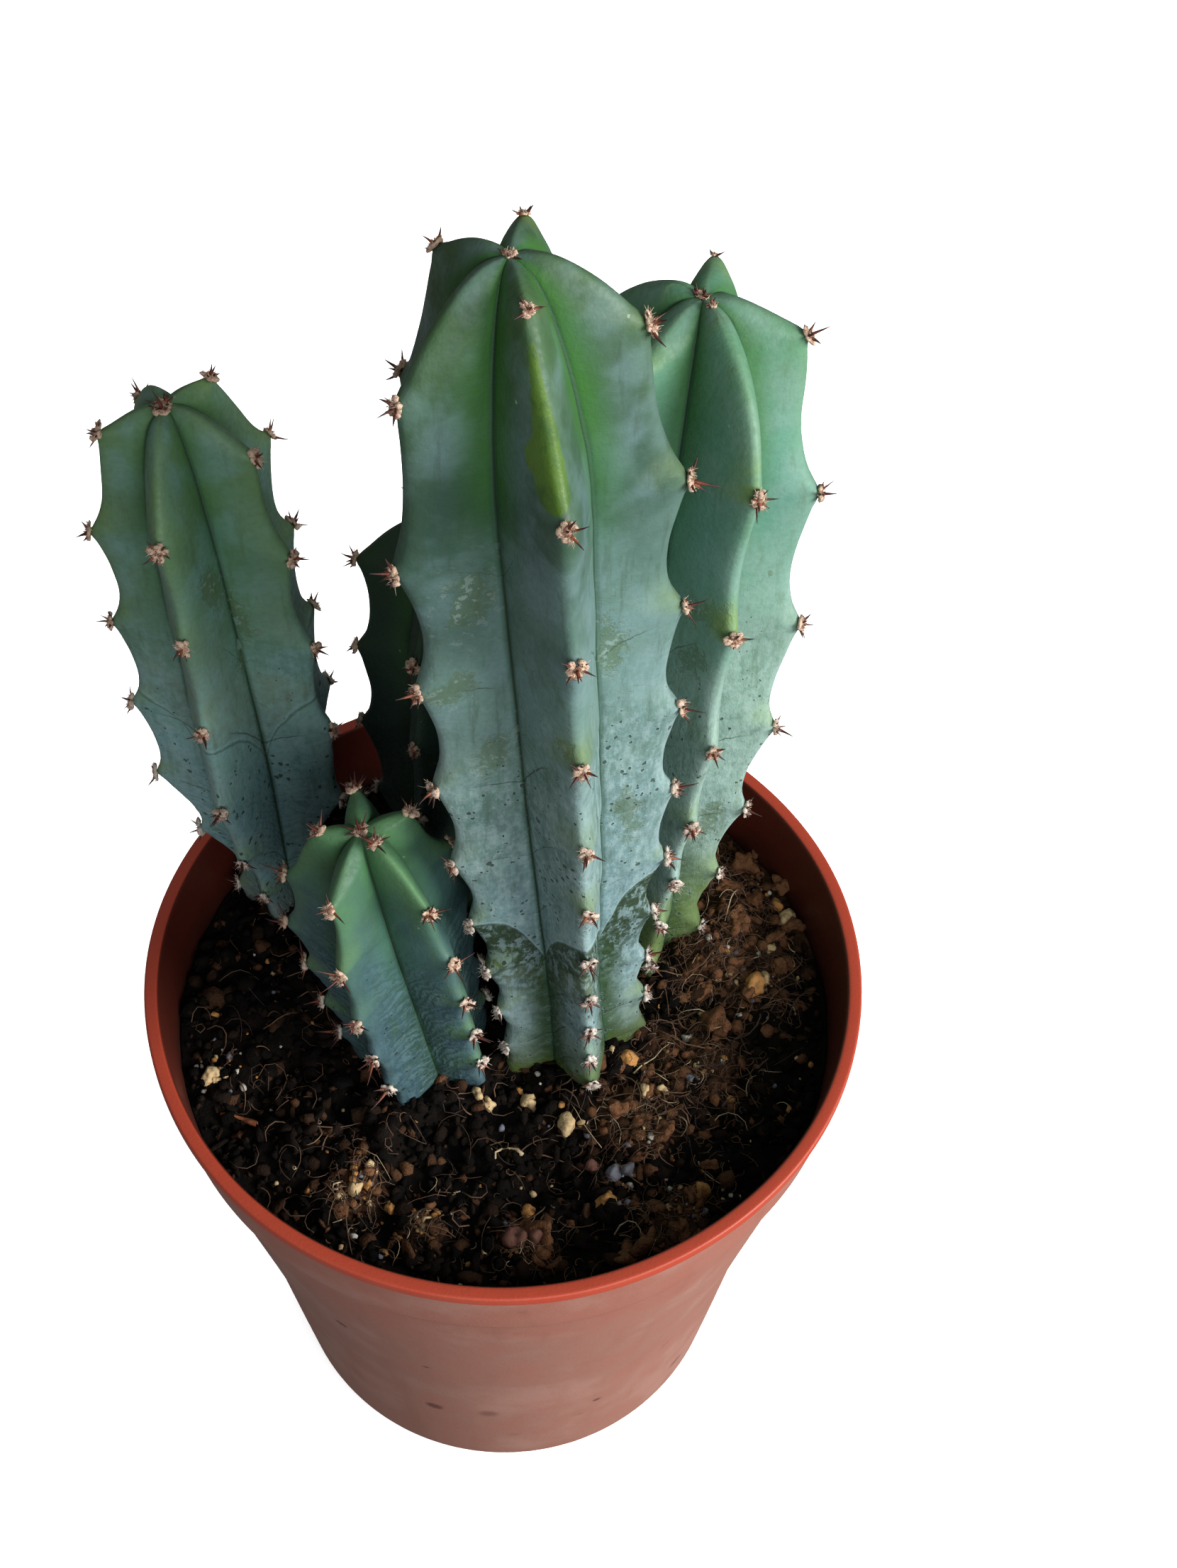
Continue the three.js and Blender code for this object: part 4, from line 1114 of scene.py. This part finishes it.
def buildFibres(finish):
    random = np.random.default_rng(401)
    draw = random.uniform
    x, y = scatterOnSoil(fibreLook.count * 3, 4.0, random)
    kept = draw(size=len(x)) < 0.06 + 0.9 * fibreShare(x, y)
    x, y = x[kept][:fibreLook.count, None], y[kept][:fibreLook.count, None]
    total = len(x)
    heading = draw(0, 2 * np.pi, (total, 1))
    length = between(fibreLook.shortest, fibreLook.longest, draw(size=(total, 1)) ** 2.2)
    share = np.linspace(-0.5, 0.5, fibreLook.steps)
    angle = heading + random.normal(0, 1.6, (total, 1)) * share
    x, y = x + length * share * np.cos(angle), y + length * share * np.sin(angle)
    reach = np.maximum(1, np.hypot(x, y) / (innerRadius(soil.level) - 1.0))
    x, y = x / reach, y / reach
    arch = draw(0, 1.6, (total, 1)) * (1 - (2 * share) ** 2) * smoothStep(1, 5, length)
    paths = stack(x, y, soilTop(x, y) + 0.3 + arch + draw(0, 0.8, (total, 1)))
    thick = between(fibreLook.thin, fibreLook.thick, draw(size=(total, 1)) ** 2)
    around = onCircle(np.linspace(*fibreLook.hookTurn, fibreLook.steps))
    hook = fibreLook.hookPlace + fibreLook.hookReach * around
    paths[0] = stack(*hook.T, soilTop(*hook.T[:, :, None])[:, 0] + fibreLook.hookRise)
    thick[0] = fibreLook.hookThick
    tone = draw(size=total)
    tone[0] = 1.0
    points, faces = makeTubes(paths, thick * (1 - 0.6 * (share + 0.5)), 4)
    addPiece("peat_fibres", points, faces, finish, "soil", {"tone": tone})


# Grit: the larger stones stand where the photograph shows them (x, y, radius, kind), and fine grit is
# scattered. Kinds: 0 cream, 1 ochre, 2 grey-white, 3 reddish bark, 4 bluish grey.
gritStones = [
    (-49.6, -12.9, 1.6, 0), (-4.6, -17.2, 1.3, 0), (-2.9, -18.2, 1.2, 0), (4.0, -18.0, 1.3, 0),
    (10.1, -22.9, 1.9, 0), (12.6, -22.4, 0.9, 0), (20.6, -11.7, 1.7, 1), (31.7, -35.8, 1.9, 1),
    (3.9, -38.6, 1.2, 1), (16.4, -37.4, 1.7, 1), (50.0, 18.0, 1.5, 0), (48.4, 20.6, 1.3, 1),
    (43.1, 2.6, 1.6, 1), (45.0, 4.6, 1.2, 0), (2.0, -44.1, 2.3, 3), (5.0, -44.8, 1.6, 3),
    (17.6, -32.2, 1.2, 4), (20.2, -31.5, 1.0, 4), (14.6, -30.6, 1.2, 3), (31.3, -5.3, 0.8, 2),
    (40.5, -2.0, 1.0, 2), (31.0, -14.5, 0.9, 4), (-24.0, -34.6, 1.3, 0), (-18.5, -37.4, 1.1, 1),
    (-12.9, -40.6, 1.0, 0), (23.4, -18.0, 1.2, 0), (26.4, -17.6, 1.0, 0), (2.4, -15.4, 1.0, 1),
    (37.5, -18.5, 0.9, 1), (46.5, 10.8, 1.1, 0), (36.8, 5.6, 1.0, 0), (34.2, -1.0, 0.9, 0),
]

# Fine grit lies everywhere, and gathers in the nests: x, y and reach.
fineGrit = Settings(count=240, smallest=0.25, largest=0.75, nested=300, nests=[
    (-24, -34.6, 3.5), (-13, -40.6, 3), (23, -23, 2.5), (42, 4, 4), (40, 12, 4), (48, 24, 3), (34, -10, 4),
    (22, -32, 5), (-49, -12, 3), (30, -37, 4)])

# Brown clumps of peat: x, y and radius.
peatClumps = [
    (5.2, -43.1, 2.2), (22.8, -44.7, 2.4), (18.9, -46.0, 1.8), (28.1, -42.4, 2.0), (22.8, -22.9, 1.8),
    (26.0, -25.0, 1.4), (18.8, -20.4, 1.5), (47.2, 12.5, 2.4), (49.4, 24.7, 2.4), (36.2, -3.4, 2.0),
    (42.7, 2.2, 1.7), (51.3, 17.0, 2.0), (41.0, 15.5, 2.2), (43.8, 30.0, 2.4), (39.0, 23.0, 2.2),
    (46.4, 33.2, 2.0), (37.0, 34.0, 2.0), (40.5, 8.0, 2.0), (30.0, -36.0, 1.3), (33.5, -31.0, 1.2),
    (44.6, 20.4, 1.6), (48.6, 7.6, 1.5), (34.5, 3.0, 1.4), (31.0, -8.6, 1.3),
]


def buildClumps(finish):
    random = np.random.default_rng(601)
    x, y, radius = np.array(peatClumps).T
    points, faces = strewLumps(x, y, radius, (0.6, 1.2), 0.25, random, (16, 24, 0.9, 602))
    fields = {"brown": [1.0], "tone": random.uniform(0, 0.6, len(x))}
    addPiece("peat_clumps", points, faces, finish, "soil", fields)


def buildGrit(finish):
    random = np.random.default_rng(501)
    x, y = scatterOnSoil(fineGrit.count, 2.5, random)
    nests = np.array(fineGrit.nests)[random.integers(len(fineGrit.nests), size=fineGrit.nested)]
    near = nests[:, :2] + nests[:, 2:] * random.normal(0, 0.6, (len(nests), 2))
    near = near[np.hypot(near[:, 0], near[:, 1]) < innerRadius(soil.level) - 2.5]
    x, y = np.append(x, near[:, 0]), np.append(y, near[:, 1])
    size = between(fineGrit.smallest, fineGrit.largest, random.uniform(size=len(x)) ** 2)
    kind = random.choice([0, 0, 1, 1, 2, 4], len(x))
    for label, rows, columns, stones in (("grit_stones", 12, 18, np.array(gritStones).T),
                                         ("fine_grit", 3, 6, (x, y, size, kind))):
        form = (rows, columns, 0.55, 502)
        points, faces = strewLumps(*stones[:3], (0.7, 1.15), 0.45, random, form)
        addPiece(label, points, faces, finish, "soil", {"kind": stones[3]})


# The orange-brown twig on the left: x and y of its ends, in millimetres.
twig = Settings(start=(-47.3, -19.9), end=(-41.0, -21.9), radius=0.42)


def buildTwig(finish):
    share = np.linspace(0, 1, 12)
    x, y = (between(start, end, share) for start, end in zip(twig.start, twig.end))
    y = y + 0.25 * np.sin(4 * share)
    path = stack(x, y, soilTop(x, y).max() + 0.25 + 0.5 * share)
    radii = twig.radius * (0.8 + 0.25 * np.sin(9 * share) + 0.3 * share)
    points, faces = makeTubes(path[None], radii[None], 9)
    addPiece("bark_twig", points, faces, finish, "soil")


def soilFinish():
    earth = Finish("potting_peat")
    broad, crumb, grain = earth.noise(14, 4), earth.noise(2.4, 5, roughness=0.65), earth.noise(0.5)
    color = earth.layers(
        (9, 7, 6),
        (earth.fade(broad, 0.4, 0.68), (22, 16, 12)),
        (0.6 * earth.fade(crumb, 0.5, 0.75), (36, 26, 18)),
        (0.7 * earth.fade(earth.field("brown") + crumb, 0.8, 1.3), (96, 66, 46)),
        (0.5 * earth.fade(grain, 0.35, 0.6), (6, 5, 4)),
    )
    return earth.surface(color, 0.88 + 0.1 * grain, crumb + 0.4 * grain, 0.5, 0.12)


def crumbFinish():
    peat = Finish("peat_crumb")
    tone, brown, grain = peat.field("tone"), peat.field("brown"), peat.noise(0.8)
    color = peat.layers(
        (7, 6, 5),
        (tone, (26, 19, 14)),
        (peat.fade(brown + 0.5 * tone, 0.4, 1.1), (122, 84, 58)),
        (0.5 * peat.fade(grain, 0.5, 0.75), (9, 7, 6)),
    )
    return peat.surface(color, 0.85 + 0.12 * grain, grain + 0.6 * peat.noise(0.3), 0.5, 0.12)


def fibreFinish():
    fibre = Finish("root_fibre")
    tone, grain = fibre.field("tone"), fibre.noise(1.2, 2)
    color = fibre.layers(
        (58, 40, 29),
        (fibre.fade(tone, 0.0, 0.9), (112, 84, 62)),
        (fibre.fade(tone, 0.93, 0.97), (196, 176, 142)),
        (0.4 * fibre.fade(grain, 0.5, 0.7), (52, 36, 26)),
    )
    return fibre.surface(color, 0.8 + 0.1 * grain, grain, 0.05)


# Each kind's colour takes over half a kind below its number.
def gritFinish():
    grit = Finish("grit_stone")
    kind, vein, grain = grit.field("kind"), grit.noise(1.3, 4), grit.noise(0.35, 2)
    shades = enumerate(((186, 132, 70), (200, 196, 186), (112, 72, 60), (112, 116, 128)))
    color = grit.layers(
        (206, 178, 132),
        *((grit.fade(kind, i + 0.45, i + 0.55), shade) for i, shade in shades),
        (0.6 * grit.fade(vein, 0.45, 0.7), (84, 58, 38)),
    )
    return grit.surface(color, 0.7 + 0.15 * grain, vein + 0.4 * grain, 0.25)


def twigFinish():
    bark = Finish("twig_bark")
    vein = bark.noise(0.7, 4, (0.2, 1, 1))
    color = bark.layers((176, 104, 62), (bark.fade(vein, 0.4, 0.65), (96, 54, 34)))
    return bark.surface(color, 0.75 + 0.1 * vein, vein, 0.15)


buildPot(potFinish())
for stem in stems.values():
    surveyStem(stem)
buildSoil(soilFinish())
peat = crumbFinish()
buildCrumbs(peat)
buildClumps(peat)
buildFibres(fibreFinish())
buildGrit(gritFinish())
buildTwig(twigFinish())
wool, horn = woolFinish(), spineFinish()
for name, stem in stems.items():
    buildSkin(name, stem, skinFinish(name, skinLook[name]))
    buildWool(name, stem, wool)
    buildSpines(name, stem, horn)


# Sizes and places in metres, powers in watts. The key light stands on the right, as in the photograph, and
# the wash lights the floor alone.
studio = Settings(floor=6.0, aim=(0, 0, 0.15), sky=0.205, lights=(
    Settings(name="key", place=(0.95, -0.46, 0.54), size=0.7, power=20.5, color=(1.0, 0.99, 0.97)),
    Settings(name="front", place=(0.3, -1.0, 0.6), size=0.8, power=6.2, color=(0.98, 0.99, 1.0)),
    Settings(name="floorWash", place=(-0.1, -0.1, 2.2), size=2.4, power=120.0, color=(1.0, 1.0, 1.0)),
))


def addStudio():
    half = studio.floor
    mesh = bpy.data.meshes.new("floor")
    corners = [(-half, -half, 0), (half, -half, 0), (half, half, 0), (-half, half, 0)]
    mesh.from_pydata(corners, [], [(0, 1, 2, 3)])
    paper = Finish("floor_paper")
    shades = {0: paper.noise(900, 2), 6: (0.82, 0.82, 0.82, 1), 7: (0.86, 0.86, 0.86, 1)}
    mesh.materials.append(paper.surface(paper.node("ShaderNodeMix", {"data_type": "RGBA"}, shades, 2), 0.8))
    floor = addObject("floor", mesh)
    floor.visible_diffuse = False
    floor.visible_glossy = False
    floorOnly = bpy.data.collections.new("floorOnly")
    floorOnly.objects.link(floor)
    for light in studio.lights:
        data = bpy.data.lights.new(light.name, "AREA")
        data.shape, data.size, data.energy, data.color = "DISK", light.size, light.power, light.color
        back = unit(np.array(light.place) - np.array(studio.aim))
        side = unit(np.cross([0, 0, 1.0], back))
        lamp = addObject(light.name, data, (side, np.cross(back, side), back), light.place)
        if light.name == "floorWash":
            lamp.light_linking.receiver_collection = floorOnly
    world = bpy.data.worlds.new("sky")
    world.use_nodes = True
    background = world.node_tree.nodes["Background"].inputs
    background["Color"].default_value = (1, 1, 1, 1)
    background["Strength"].default_value = studio.sky
    bpy.context.scene.world = world
    bpy.context.scene.view_settings.view_transform = "Standard"


addStudio()
print("studio set")
